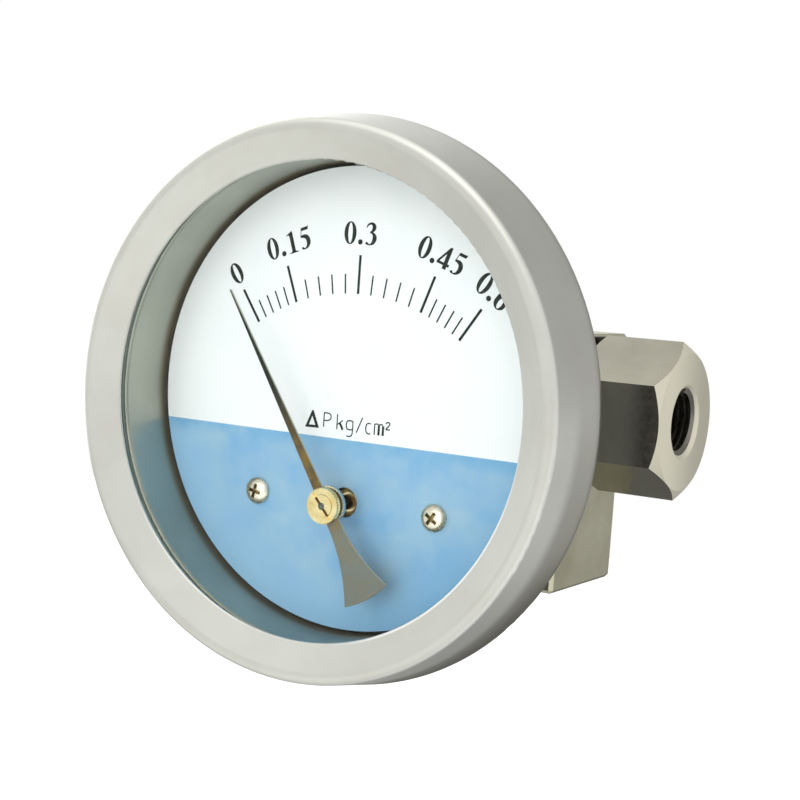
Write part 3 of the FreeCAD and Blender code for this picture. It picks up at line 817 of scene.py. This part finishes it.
# Nickel plate over pressed steel: warm white, softened at the recess.
SCREW_NICKEL = MetalFinish(
    "nickel_plated_steel", "EAE5D3", "CDC5AA", 0.3, 0.06, Lay.EVEN, 0.5, 0.002, 2.5, veils=(
        # The recesses of the dial screws are painted dark, as shade.
        Veil("8A7D55", ((Lay.ROUND_SCREWS, (1.65, 1.55)), (Way.DEPTH, (-35.0, -34.6)))),))
# Zinc plate, bright and slightly cool.
WASHER_ZINC = MetalFinish(
    "bright_zinc_plate", "D5D8D6", "B9BCB8", 0.22, 0.05, Lay.ROUND_PIVOT, 0.25, 0.002, 3.0)
# Moulded nitrile rubber: dead black with a dry grain.
RUBBER = CoatFinish("moulded_nitrile_rubber", "141513", "1E1F1C", 0.68, 0.6, 0.02)
# Window gasket: softer green-grey rubber.
GASKET_RUBBER = CoatFinish("cut_rubber_sheet", "7C877C", "8A948A", 0.6, 0.8, 0.02)
# Screen ink: near black with a green cast, slightly broken up.
INK = CoatFinish("screen_ink", "161E19", "262F29", 0.5, 0.5, 0.004, 0.2)


# Outlines of print


def print_axes(turn: float) -> tuple[Vector, Vector]:
    """Directions across and up of print that is turned clockwise, in radians."""
    sine, cosine = math.sin(turn), math.cos(turn)
    return Vector((cosine, 0.0, -sine)), Vector((sine, 0.0, cosine))


def oval(x: float, y: float, rx: float, ry: float, steps: int = 40) -> Loop:
    """Points round an ellipse.

    Args:
        x: centre across.
        y: centre up.
        rx: half width.
        ry: half height.
        steps: number of points.

    Returns:
        The closed outline.
    """
    turns = [2.0 * math.pi * i / steps for i in range(steps)]
    return [(x + rx * math.cos(t), y + ry * math.sin(t)) for t in turns]


def brush(points: list[Place], steps: int = 6) -> Loop:
    """Outline of a pen stroke that runs smoothly through its points.

    Args:
        points: centre across, centre up and pen width at each point.
        steps: pieces between two points.

    Returns:
        The closed outline.
    """
    ends = [points[0], *points, points[-1]]
    line: list[tuple[float, ...]] = []
    for a, b, c, d in zip(ends, ends[1:], ends[2:], ends[3:]):
        for i in range(steps):
            t = i / steps
            line.append(tuple(
                0.5 * (2 * q + (r - p) * t + (2 * p - 5 * q + 4 * r - s) * t * t
                       + (3 * q - p - 3 * r + s) * t ** 3)
                for p, q, r, s in zip(a, b, c, d)))
    line.append(tuple(points[-1]))
    left: Loop = []
    right: Loop = []
    for i, (x, y, width) in enumerate(line):
        before = line[max(i - 1, 0)]
        after = line[min(i + 1, len(line) - 1)]
        dx, dy = after[0] - before[0], after[1] - before[1]
        size = math.hypot(dx, dy) or 1.0
        nx, ny = -dy / size * width / 2.0, dx / size * width / 2.0
        left.append((x + nx, y + ny))
        right.append((x - nx, y - ny))
    return left + right[::-1]


@dataclass
class SerifFigures:
    """Bold serif figures of unit height, each drawn about its own middle line."""

    figure_advance: float = 0.727
    stop_advance: float = 0.364

    def advance(self, sign: str) -> float:
        """Width that a sign takes in a line."""
        return self.stop_advance if sign == "." else self.figure_advance

    def shapes(self, sign: str) -> list[Shape]:
        """Closed shapes of one sign, each an outline followed by its holes.

        Args:
            sign: a figure or the decimal point.

        Returns:
            The sign's shapes.
        """
        drawn = {
            ".": [[oval(0.0, 0.115, 0.12, 0.12, 20)]],
            "0": [[oval(0.0, 0.5, 0.315, 0.51), oval(0.0, 0.5, 0.118, 0.455)]],
            "1": [[[(-0.24, 0.0), (0.26, 0.0), (0.26, 0.035), (0.2, 0.045), (0.125, 0.07), (0.105, 0.13),
                    (0.105, 1.0), (0.06, 1.0), (-0.24, 0.87), (-0.225, 0.83), (-0.14, 0.85), (-0.1, 0.83),
                    (-0.085, 0.77), (-0.085, 0.13), (-0.105, 0.07), (-0.18, 0.045), (-0.24, 0.035)]]],
            "3": [[brush([(-0.25, 0.76, 0.035), (-0.17, 0.89, 0.075), (-0.03, 0.95, 0.1), (0.1, 0.9, 0.16),
                          (0.145, 0.77, 0.2), (0.08, 0.63, 0.14), (-0.07, 0.54, 0.05)])],
                  [brush([(-0.07, 0.555, 0.05), (0.07, 0.52, 0.1), (0.165, 0.42, 0.18), (0.185, 0.28, 0.21),
                          (0.12, 0.12, 0.17), (0.0, 0.03, 0.08), (-0.12, 0.025, 0.06), (-0.2, 0.065, 0.12),
                          (-0.26, 0.1, 0.1)])]],
            "4": [[[(0.03, 0.0), (0.22, 0.0), (0.22, 0.15), (0.32, 0.15), (0.32, 0.27), (0.22, 0.27),
                    (0.22, 1.0), (0.11, 1.0), (-0.32, 0.26), (-0.32, 0.15), (0.03, 0.15)],
                   [(0.03, 0.27), (-0.2, 0.27), (0.03, 0.67)]]],
            "5": [[[(-0.115, 0.985), (0.21, 0.985), (0.29, 1.02), (0.235, 0.845), (-0.125, 0.845),
                    (-0.17, 0.62), (-0.235, 0.55)]],
                  [brush([(-0.21, 0.575, 0.06), (-0.08, 0.59, 0.14), (0.07, 0.54, 0.2), (0.15, 0.4, 0.22),
                          (0.135, 0.22, 0.19), (0.03, 0.07, 0.11), (-0.12, 0.025, 0.06), (-0.21, 0.065, 0.12),
                          (-0.26, 0.09, 0.09)])]],
            "6": [[oval(0.0, 0.3, 0.3, 0.315), oval(0.01, 0.29, 0.11, 0.255)],
                  [brush([(0.25, 0.985, 0.03), (0.09, 0.91, 0.08), (-0.07, 0.77, 0.15), (-0.17, 0.58, 0.19),
                          (-0.2, 0.38, 0.19), (-0.19, 0.28, 0.17)])]],
        }
        return drawn[sign]


@dataclass
class UnitLegend:
    """Unit of pressure difference in a thin drafting hand, in millimetres from the scale's centre."""

    pen: float = 0.26
    bold: float = 0.5

    def shapes(self) -> list[Shape]:
        """Closed shapes of the whole legend, each an outline followed by its holes.

        Returns:
            The legend's shapes.
        """
        thin = [
            [(-6.2, 17.5), (-6.2, 14.5)],
            [(-6.2, 17.42), (-5.2, 17.42), (-4.62, 17.15), (-4.5, 16.65), (-4.72, 16.15),
             (-5.3, 15.9), (-6.2, 15.88)],
            [(-2.94, 17.5), (-2.94, 14.35)],
            [(-1.6, 16.35), (-2.1, 15.9), (-2.9, 15.35)],
            [(0.86, 16.4), (0.88, 15.0), (0.84, 13.9), (0.55, 13.35), (0.0, 13.2), (-0.5, 13.3)],
            [(0.8, 16.38), (0.1, 16.44), (-0.5, 16.25), (-0.68, 15.6), (-0.55, 14.85),
             (-0.05, 14.6), (0.84, 14.66)],
            [(1.8, 14.16), (3.12, 17.4)],
            [(5.15, 16.35), (4.6, 16.38), (4.15, 16.1), (4.02, 15.4), (4.1, 14.7),
             (4.5, 14.3), (5.15, 14.28)],
            [(6.08, 16.45), (6.08, 14.22)],
            [(6.05, 16.35), (6.5, 16.48), (6.98, 16.4)],
            [(7.1, 16.38), (7.6, 16.46), (8.02, 16.35)],
            [(8.72, 16.72), (8.95, 17.0), (9.4, 17.0), (9.6, 16.75), (9.4, 16.35), (8.75, 15.6)],
            [(8.72, 15.58), (9.7, 15.58)],
        ]
        heavy = [
            [(-2.4, 15.75), (-1.95, 15.2), (-1.55, 14.4)],
            [(7.1, 16.3), (7.1, 14.22)],
            [(8.1, 16.2), (8.1, 14.22)],
        ]
        shapes: list[Shape] = []
        for strokes, width in ((thin, self.pen), (heavy, self.bold)):
            shapes += [[brush([(x, z, width) for x, z in stroke])] for stroke in strokes]
        shapes.append([[(-10.72, 14.08), (-7.32, 14.16), (-8.86, 17.66), (-9.2, 17.66)],
                       [(-9.85, 14.62), (-8.2, 14.66), (-9.08, 16.55)]])
        return shapes


@dataclass
class InkLayer:
    """Print that stands on the dial as thin closed solids. Sizes in millimetres."""

    height: float = 0.03
    sink: float = 0.01
    step_up: float = 0.06

    def stamp(self, shapes: list[Shape], turn: float, origin: Vector, unit: float,
              target: bmesh.types.BMesh) -> None:
        """Raise flat shapes, each a hair higher than the last.

        Args:
            shapes: outlines with their holes.
            turn: how far they are turned clockwise, in radians.
            origin: place of their origin on the dial's face, in metres.
            unit: metres to one unit of the shapes.
            target: the mesh under construction.
        """
        across, up = print_axes(turn)
        for index, loops in enumerate(shapes):
            flat = [[Vector((x, y, 0.0)) for x, y in loop] for loop in loops]
            points = [origin + (across * p.x + up * p.y) * unit for loop in flat for p in loop]
            level = self.height * MM * (1.0 + self.step_up * index)
            back, front = ([target.verts.new(point + Vector((0.0, depth, 0.0))) for point in points]
                           for depth in (self.sink * MM, -level))
            for a, b, c in tessellate_polygon(flat):
                target.faces.new((front[a], front[b], front[c]))
                target.faces.new((back[c], back[b], back[a]))
            start = 0
            for loop in flat:
                ring = range(start, start + len(loop))
                for i, j in zip(ring, [*ring[1:], start]):
                    target.faces.new((front[i], front[j], back[j], back[i]))
                start += len(loop)


# Geometry Nodes trees


def open_group(name: str, inputs: dict[str, str]) -> tuple[bpy.types.NodeTree, Any]:
    """Start a tree that takes geometry, other inputs and a material, and gives geometry.

    Args:
        name: the tree's name.
        inputs: kinds of the other inputs, by name.

    Returns:
        The tree, and its inputs by name.
    """
    tree = bpy.data.node_groups.new(name, "GeometryNodeTree")
    for label, kind in {"Geometry": "Geometry", **inputs, "Material": "Material"}.items():
        tree.interface.new_socket(label, in_out="INPUT", socket_type="NodeSocket" + kind)
    tree.interface.new_socket("Geometry", in_out="OUTPUT", socket_type="NodeSocketGeometry")
    return tree, add_node(tree, "NodeGroupInput").outputs


def close_group(tree: bpy.types.NodeTree, made: bpy.types.Node, material: Socket) -> bpy.types.NodeTree:
    """End a tree with what it made, as plain faces in its material.

    Args:
        tree: the tree.
        made: the node whose geometry comes out.
        material: the tree's material input.

    Returns:
        The same tree.
    """
    solid = add_node(tree, "GeometryNodeRealizeInstances", None, {0: made.outputs[0]})
    clad = add_node(tree, "GeometryNodeSetMaterial", None,
                    {"Geometry": solid.outputs[0], "Material": material})
    add_node(tree, "NodeGroupOutput", None, {0: clad.outputs[0]})
    return tree


def tick_tree() -> bpy.types.NodeTree:
    """Tree that stands a thin bar on every point, by the point's own turn, width and length.

    Returns:
        A tree with the inputs Geometry, Thickness and Material.
    """
    tree, source = open_group("scale_bars", {"Thickness": "Float"})
    turn, width, length = (
        add_node(tree, "GeometryNodeInputNamedAttribute", {"data_type": "FLOAT"}, {"Name": name}).outputs[0]
        for name in ("turn", "bar_width", "bar_length"))
    cube = add_node(tree, "GeometryNodeMeshCube", None, {"Size": (1.0, 1.0, 1.0)})
    bar = add_node(tree, "GeometryNodeTransform", None,
                   {"Geometry": cube.outputs[0], "Translation": (0.0, 0.0, 0.5)})
    turned = add_node(tree, "ShaderNodeCombineXYZ", None, {"Y": turn})
    size = add_node(tree, "ShaderNodeCombineXYZ", None, {"X": width, "Y": source["Thickness"], "Z": length})
    bars = add_node(tree, "GeometryNodeInstanceOnPoints", None,
                    {"Points": source["Geometry"], "Instance": bar.outputs[0], "Rotation": turned.outputs[0],
                     "Scale": size.outputs[0]})
    return close_group(tree, bars, source["Material"])


def coil_tree() -> bpy.types.NodeTree:
    """Tree that winds a bar of four-sided section into a right-hand coil about Z.

    Returns:
        A tree with the inputs Steps, Turns, Radius, Rise, Foot, Crest, Depth and Material, where the
        section's foot is its outer side.
    """
    sizes = ("Turns", "Radius", "Rise", "Foot", "Crest", "Depth")
    tree, source = open_group("wound_bar", {"Steps": "Int", **dict.fromkeys(sizes, "Float")})
    path = add_node(tree, "GeometryNodeCurveSpiral", None,
                    {"Resolution": source["Steps"], "Rotations": source["Turns"],
                     "Start Radius": source["Radius"], "End Radius": source["Radius"],
                     "Height": source["Rise"], "Reverse": True})
    upright = add_node(tree, "GeometryNodeSetCurveNormal", {"mode": "Z_UP"}, {"Curve": path.outputs[0]})
    section = add_node(tree, "GeometryNodeCurvePrimitiveQuadrilateral", {"mode": "TRAPEZOID"},
                       {"Bottom Width": source["Foot"], "Top Width": source["Crest"],
                        "Height": source["Depth"], "Offset": 0.0})
    turned = add_node(tree, "GeometryNodeTransform", None,
                      {"Geometry": section.outputs[0], "Rotation": (0.0, 0.0, math.pi / 2.0)})
    wound = add_node(tree, "GeometryNodeCurveToMesh", None,
                     {"Curve": upright.outputs[0], "Profile Curve": turned.outputs[0], "Fill Caps": True})
    return close_group(tree, wound, source["Material"])


# Sub-assemblies


@dataclass
class Assembly:
    """Solids that belong together, each with its finish, and what is added to them."""

    nodes: dict[str, bpy.types.Object]
    finishes: ClassVar[dict[str, Finish]] = {}

    def add_pieces(self) -> None:
        """Add what the solids leave out, here nothing."""

    def build(self) -> None:
        """Put a finish on every slot of each solid and add the rest."""
        for name, finish in self.finishes.items():
            for slot in self.nodes[name].material_slots:
                slot.material = finish.material()
            log.info("dressed %s in %s", name, finish.name)
        self.add_pieces()


@dataclass
class CaseAndRing(Assembly):
    """Drawn case, rolled ring, window and gasket."""

    finishes = {"bezel_ring": RING_STEEL, "case_pan": CASE_STEEL, "window_glass": WindowGlass(),
                "window_gasket": GASKET_RUBBER}


@dataclass
class PointerUnit(Assembly):
    """Pointer, hub and washer on the spindle, with the magnet that follows the piston."""

    finishes = {"pointer": LacqueredBlade(), "pointer_hub": HUB_BRASS, "hub_washer": WASHER_ZINC,
                "pointer_shaft": SPINDLE_STEEL, "magnet_carrier": PLAIN_BRASS, "rotor_magnet": MAGNET_ALLOY}


@dataclass
class DialFace(Assembly):
    """Printed dial with its scale, figures and unit, on two posts with two screws. Sizes in millimetres."""

    finishes = {"dial_plate": PrintedSheet(), "dial_posts": PLAIN_BRASS, "dial_screws": SCREW_NICKEL}
    scale_z: float = CASE_Z - 20.75
    tick_inner: float = 42.25
    minor_size: Point = (0.34, 4.0)
    major_size: Point = (0.56, 7.85)
    figure_height: float = 4.55
    steps_between: int = 5
    ink: InkLayer = field(default_factory=InkLayer)
    figures: SerifFigures = field(default_factory=SerifFigures)
    legend: UnitLegend = field(default_factory=UnitLegend)
    major_turns: tuple[float, ...] = (-34.6, -20.6, 0.0, 20.6, 34.6)
    numbers: tuple[tuple[str, float, float], ...] = (
        ("0", -34.4, 54.0), ("0.15", -18.95, 54.5), ("0.3", -0.3, 54.5),
        ("0.45", 20.2, 54.4), ("0.6", 34.45, 54.4))

    def tick_points(self) -> bpy.types.Mesh:
        """One point for each scale mark, with its turn, width and length as attributes.

        Returns:
            A mesh of loose points.
        """
        marks: list[Place] = []
        for start, end in zip(self.major_turns, self.major_turns[1:]):
            for step in range(self.steps_between):
                turn = math.radians(start + (end - start) * step / self.steps_between)
                marks.append((turn, *(self.minor_size if step else self.major_size)))
        marks.append((math.radians(self.major_turns[-1]), *self.major_size))
        level = DIAL_Y + (self.ink.sink - self.ink.height) / 2.0
        reach = self.tick_inner
        mesh = bpy.data.meshes.new("scale_points")
        spots = [(reach * math.sin(turn), level, self.scale_z + reach * math.cos(turn))
                 for turn, _, _ in marks]
        mesh.from_pydata([tuple(c * MM for c in spot) for spot in spots], [], [])
        turns, widths, lengths = zip(*marks)
        columns = (("turn", turns, 1.0), ("bar_width", widths, MM), ("bar_length", lengths, MM))
        for name, values, unit in columns:
            mesh.attributes.new(name, "FLOAT", "POINT").data.foreach_set("value", [v * unit for v in values])
        return mesh

    def scale(self) -> None:
        """Print the scale marks."""
        values = {"Thickness": (self.ink.height + self.ink.sink) * MM, "Material": INK.material()}
        mesh = run_nodes(tick_tree(), self.tick_points(), values)
        add_piece("scale_marks", mesh, INK.material(), "gauge")

    def print_mesh(self, solid: bmesh.types.BMesh, name: str) -> None:
        """Close a printed mesh and link it.

        Args:
            solid: the mesh under construction.
            name: the piece's name.
        """
        bmesh.ops.recalc_face_normals(solid, faces=solid.faces)
        mesh = bpy.data.meshes.new(name)
        solid.to_mesh(mesh)
        solid.free()
        add_piece(name, mesh, INK.material(), "gauge")

    def numerals(self) -> None:
        """Print the numbers, each turned to stand square to its mark."""
        solid = bmesh.new()
        unit = self.figure_height * MM
        for text, degrees, radius in self.numbers:
            turn = math.radians(degrees)
            across, up = print_axes(turn)
            centre = Vector((0.0, DIAL_Y, self.scale_z)) * MM + up * (radius * MM)
            pen = -sum(self.figures.advance(sign) for sign in text) / 2.0
            for sign in text:
                middle = pen + self.figures.advance(sign) / 2.0
                origin = centre + (across * middle - up * 0.5) * unit
                self.ink.stamp(self.figures.shapes(sign), turn, origin, unit, solid)
                pen += self.figures.advance(sign)
        self.print_mesh(solid, "scale_numbers")

    def unit(self) -> None:
        """Print the unit of the scale."""
        solid = bmesh.new()
        self.ink.stamp(self.legend.shapes(), 0.0, Vector((0.0, DIAL_Y, self.scale_z)) * MM, MM, solid)
        self.print_mesh(solid, "scale_unit")

    def add_pieces(self) -> None:
        """Print on the dial."""
        self.scale()
        self.numerals()
        self.unit()


@dataclass
class PressureBody(Assembly):
    """Block body with its fittings, port threads, piston and spring. Sizes in millimetres."""

    finishes = {"gauge_body": BODY_STEEL, "low_side_fitting": HEX_STEEL, "high_side_fitting": HEX_STEEL,
                "fitting_seals": RUBBER, "piston": PISTON_STEEL, "piston_magnet": MAGNET_ALLOY,
                "bearing_plate": PLATE_BRONZE, "bearing_plate_screws": SCREW_NICKEL,
                "front_bush": PLAIN_BRASS, "rear_bush": PLAIN_BRASS, "range_spring": SPRING_STEEL}
    port_y: float = PORT_Y
    hex_end: float = 64.1
    thread_root: float = 6.6
    thread_depth: float = 0.88
    thread_foot: float = 1.22
    thread_crest: float = 0.22
    thread_pitch: float = 1.337
    thread_turns: float = 9.4
    thread_steps: int = 48
    thread_inset: float = 0.95
    spring_start: float = 3.17
    spring_end: float = 30.33
    spring_radius: float = 5.4
    spring_height: float = 1.1
    spring_width: float = 1.3
    spring_turns: float = 7.0
    spring_steps: int = 40
    stroke: float = 9.0
    weld: float = 0.0001
    sharp_deg: float = 25.0

    def wind(self, finish: Finish, start: float, side: float, turning: tuple[int, float],
             sizes: dict[str, float]) -> bpy.types.Mesh:
        """Wind a coil along the port axis.

        Args:
            finish: its finish.
            start: where along the axis it starts.
            side: 1 if it runs to the right, -1 if to the left.
            turning: steps to a turn, and turns.
            sizes: its other sizes, by the names of the coil tree's inputs.

        Returns:
            The coil's mesh.
        """
        steps, turns = turning
        values = {"Steps": steps, "Turns": turns, "Material": finish.material()}
        values.update({name: size * MM for name, size in sizes.items()})
        mesh = run_nodes(coil_tree(), bpy.data.meshes.new("coil_base"), values)
        mesh.transform(Matrix.Translation(Vector((start, self.port_y, 0.0)) * MM)
                       @ Matrix.Rotation(side * math.pi / 2.0, 4, "Y"))
        solid = bmesh.new()
        solid.from_mesh(mesh)
        bmesh.ops.remove_doubles(solid, verts=solid.verts, dist=self.weld * MM)
        bmesh.ops.recalc_face_normals(solid, faces=solid.faces)
        solid.to_mesh(mesh)
        solid.free()
        mesh.shade_smooth()
        mesh.set_sharp_from_angle(angle=math.radians(self.sharp_deg))
        return mesh

    def threads(self) -> None:
        """Cut a pipe thread's ridges into both ports, from the mouth inwards."""
        sizes = {"Radius": self.thread_root - self.thread_depth / 2.0,
                 "Rise": self.thread_turns * self.thread_pitch, "Foot": self.thread_foot,
                 "Crest": self.thread_crest, "Depth": self.thread_depth}
        mouth = self.hex_end - self.thread_inset
        for name, side in (("low_port_thread", 1.0), ("high_port_thread", -1.0)):
            mesh = self.wind(THREAD_STEEL, side * mouth, -side, (self.thread_steps, self.thread_turns), sizes)
            add_piece(name, mesh, THREAD_STEEL.material(), "gauge")

    def spring(self) -> None:
        """Wind the range spring at its rest length, in place of the solid one; the real one shortens as the
        piston comes over.
        """
        rise = self.spring_end - self.spring_start
        sizes = {"Radius": self.spring_radius, "Rise": rise, "Foot": self.spring_width,
                 "Crest": self.spring_width, "Depth": self.spring_height}
        mesh = self.wind(SPRING_STEEL, self.spring_start, 1.0, (self.spring_steps, self.spring_turns), sizes)
        piece = add_piece("working_spring", mesh, SPRING_STEEL.material(), "gauge")
        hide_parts("range_spring")
        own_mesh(piece)

    def add_pieces(self) -> None:
        """Add what is cut or wound."""
        self.threads()
        self.spring()


# Studio


@dataclass(frozen=True)
class SoftLamp:
    """A square soft box. Places in metres."""

    name: str
    place: Place
    aim: Place
    side: float
    watts: float

    def build(self) -> None:
        """Hang the lamp and point it."""
        light = bpy.data.lights.new(self.name, "AREA")
        light.shape = "SQUARE"
        light.size = self.side
        light.energy = self.watts
        lamp = add_object(self.name, light)
        lamp.location = self.place
        lamp.rotation_euler = (Vector(self.aim) - Vector(self.place)).to_track_quat("-Z", "Y").to_euler()
        lamp.visible_camera = False
        lamp.visible_glossy = False


@dataclass(frozen=True)
class Viewpoint:
    """Camera that looks at a point from a clock direction. Metres and degrees."""

    aim: Place = (0.01671, -0.04293, 0.00058)
    distance: float = 0.31648
    azimuth: float = 30.55
    elevation: float = 4.67
    roll: float = 3.99
    lens_mm: float = 73.576
    sensor_mm: float = 36.0
    clip: Point = (0.01, 20.0)

    def build(self) -> None:
        """Set up the camera."""
        side, lift, roll = (math.radians(v) for v in (self.azimuth, self.elevation, self.roll))
        back = Vector((math.sin(side) * math.cos(lift), -math.cos(side) * math.cos(lift), math.sin(lift)))
        right = Vector((math.cos(side), math.sin(side), 0.0))
        up = back.cross(right)
        across = right * math.cos(roll) + up * math.sin(roll)
        upright = up * math.cos(roll) - right * math.sin(roll)
        data = bpy.data.cameras.new("viewpoint")
        data.lens = self.lens_mm
        data.sensor_width = self.sensor_mm
        data.sensor_fit = "HORIZONTAL"
        data.clip_start, data.clip_end = self.clip
        camera = add_object("viewpoint", data)
        turned = Matrix((across, upright, back)).transposed().to_4x4()
        camera.matrix_world = Matrix.Translation(Vector(self.aim) + back * self.distance) @ turned
        bpy.context.scene.camera = camera


@dataclass(frozen=True)
class Patch:
    """Soft round part of the surroundings, as metal mirrors it, brighter or dimmer than the rest."""

    toward: Place
    span: Point
    change: float


@dataclass(frozen=True)
class FloorFinish(Finish):
    """Matt pale floor, lifted to white for the eye, with the object's shadow kept. Places in metres."""

    name: str = "pale_studio_floor"
    tone: str = "F1F1F0"
    fleck: str = "EEEEED"
    fleck_scale: float = 300.0
    roughness: float = 0.9
    gloss: float = 0.1
    lift: float = 0.5
    shine: float = 0.26
    flag_tone: str = "7C7C7A"
    flag_side_tone: str = "B8B8B6"
    flag_span: Point = (-0.1, 0.07)
    flag_side_span: Point = (0.0, 0.2)
    strip_span: Point = (-0.19, -0.29)
    strip_share: float = 0.3

    def shade(self, nodes: Shading) -> None:
        """Pale for light, white for the eye, and greyer behind the object for what metal mirrors.

        Args:
            nodes: the material's nodes.
        """
        seen, mirrored = nodes.rays()
        place = nodes.place()
        across, depth, _ = nodes.split(place)
        flecks = nodes.noise(place, self.fleck_scale, detail=2.0, roughness=0.5)
        plain = nodes.mix(flecks, self.tone, self.fleck)
        # Under and behind the object metal mirrors a greyer floor, as under a soft dark flag.
        strip = nodes.ramp(across, self.strip_span, (0.0, self.strip_share), smooth=True)
        flagged = nodes.math("MAXIMUM", nodes.ramp(depth, self.flag_span, smooth=True), strip)
        aside = nodes.ramp(across, self.flag_side_span, smooth=True)
        flag = nodes.mix(aside, self.flag_tone, self.flag_side_tone)
        tone = nodes.mix(nodes.all_of(flagged, mirrored), plain, flag)
        in_front = nodes.math("SUBTRACT", 1.0, flagged)
        shine = nodes.all_of(nodes.math("MULTIPLY", mirrored, self.shine), in_front)
        nodes.close(nodes.principled({
            "Base Color": tone, "Roughness": self.roughness, "Specular IOR Level": self.gloss,
            "Emission Color": WHITE,
            "Emission Strength": nodes.math("MULTIPLY_ADD", seen, self.lift, shine)}))


@dataclass
class Studio:
    """Pale floor, pale surroundings and soft boxes. Places in metres."""

    floor_z: float = -0.16
    floor_half: float = 0.7
    ambient: float = 0.74
    patches: tuple[Patch, ...] = (
        Patch((0.356, 0.864, 0.356), (0.65, 0.9), -0.5),
        Patch((-0.05, 0.995, -0.05), (0.92, 0.98), -0.3),
        Patch((-0.9, 0.4, 0.2), (0.81, 0.9), 0.9),
        Patch((-0.15, -0.25, 0.95), (0.76, 0.9), 0.4),
        Patch((0.2, -0.45, 0.87), (0.87, 0.96), 0.55),
    )
    lamps: tuple[SoftLamp, ...] = (
        SoftLamp("front_box", (0.1, -0.95, 0.16), (0.0, -0.04, -0.01), 0.9, 3.9),
        SoftLamp("left_box", (-0.85, 0.3, 0.3), (0.0, -0.04, 0.0), 0.5, 1.0),
        SoftLamp("top_box", (-0.1, 0.15, 0.9), (0.0, -0.03, 0.0), 0.6, 1.0),
    )

    def floor(self) -> None:
        """Lay the floor."""
        half = self.floor_half
        corners = ((-half, -half), (half, -half), (half, half), (-half, half))
        mesh = bpy.data.meshes.new("studio_floor")
        mesh.from_pydata([(x, y, self.floor_z) for x, y in corners], [], [(0, 1, 2, 3)])
        mesh.materials.append(FloorFinish().material())
        floor = add_object("studio_floor", mesh)

    def surroundings(self) -> None:
        """White for the eye and through glass, with soft bright and dim patches in what metal mirrors."""
        world = bpy.data.worlds.new("pale_studio")
        bpy.context.scene.world = world
        world.use_nodes = True
        world.node_tree.nodes.clear()
        nodes = Shading(world.node_tree)
        way = add_node(nodes.tree, "ShaderNodeTexCoord").outputs["Generated"]
        level: Any = 1.0
        for patch in self.patches:
            toward = nodes.measure("DOT_PRODUCT", way, patch.toward)
            level = nodes.math("ADD", nodes.ramp(toward, patch.span, (0.0, patch.change), smooth=True), level)
        seen, mirrored = nodes.rays()
        strength = nodes.mix_value(seen, nodes.mix_value(mirrored, self.ambient, level), 1.0)
        sky = add_node(nodes.tree, "ShaderNodeBackground", None, {"Color": WHITE, "Strength": strength})
        add_node(nodes.tree, "ShaderNodeOutputWorld", None, {"Surface": sky.outputs[0]})

    def build(self) -> None:
        """Set up floor, surroundings, lamps and camera."""
        self.floor()
        self.surroundings()
        for lamp in self.lamps:
            lamp.build()
        Viewpoint().build()
        bpy.context.scene.view_settings.view_transform = "Standard"


def main() -> None:
    """Load the solids, and build each sub-assembly and the studio."""
    logging.basicConfig(level=logging.INFO, format="%(name)s: %(message)s")
    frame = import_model()
    nodes = frame["nodes"]
    for assembly in (CaseAndRing(nodes), DialFace(nodes), PointerUnit(nodes), PressureBody(nodes), Studio()):
        assembly.build()
        log.info("built %s", type(assembly).__name__)


if __name__ == "__main__":
    main()
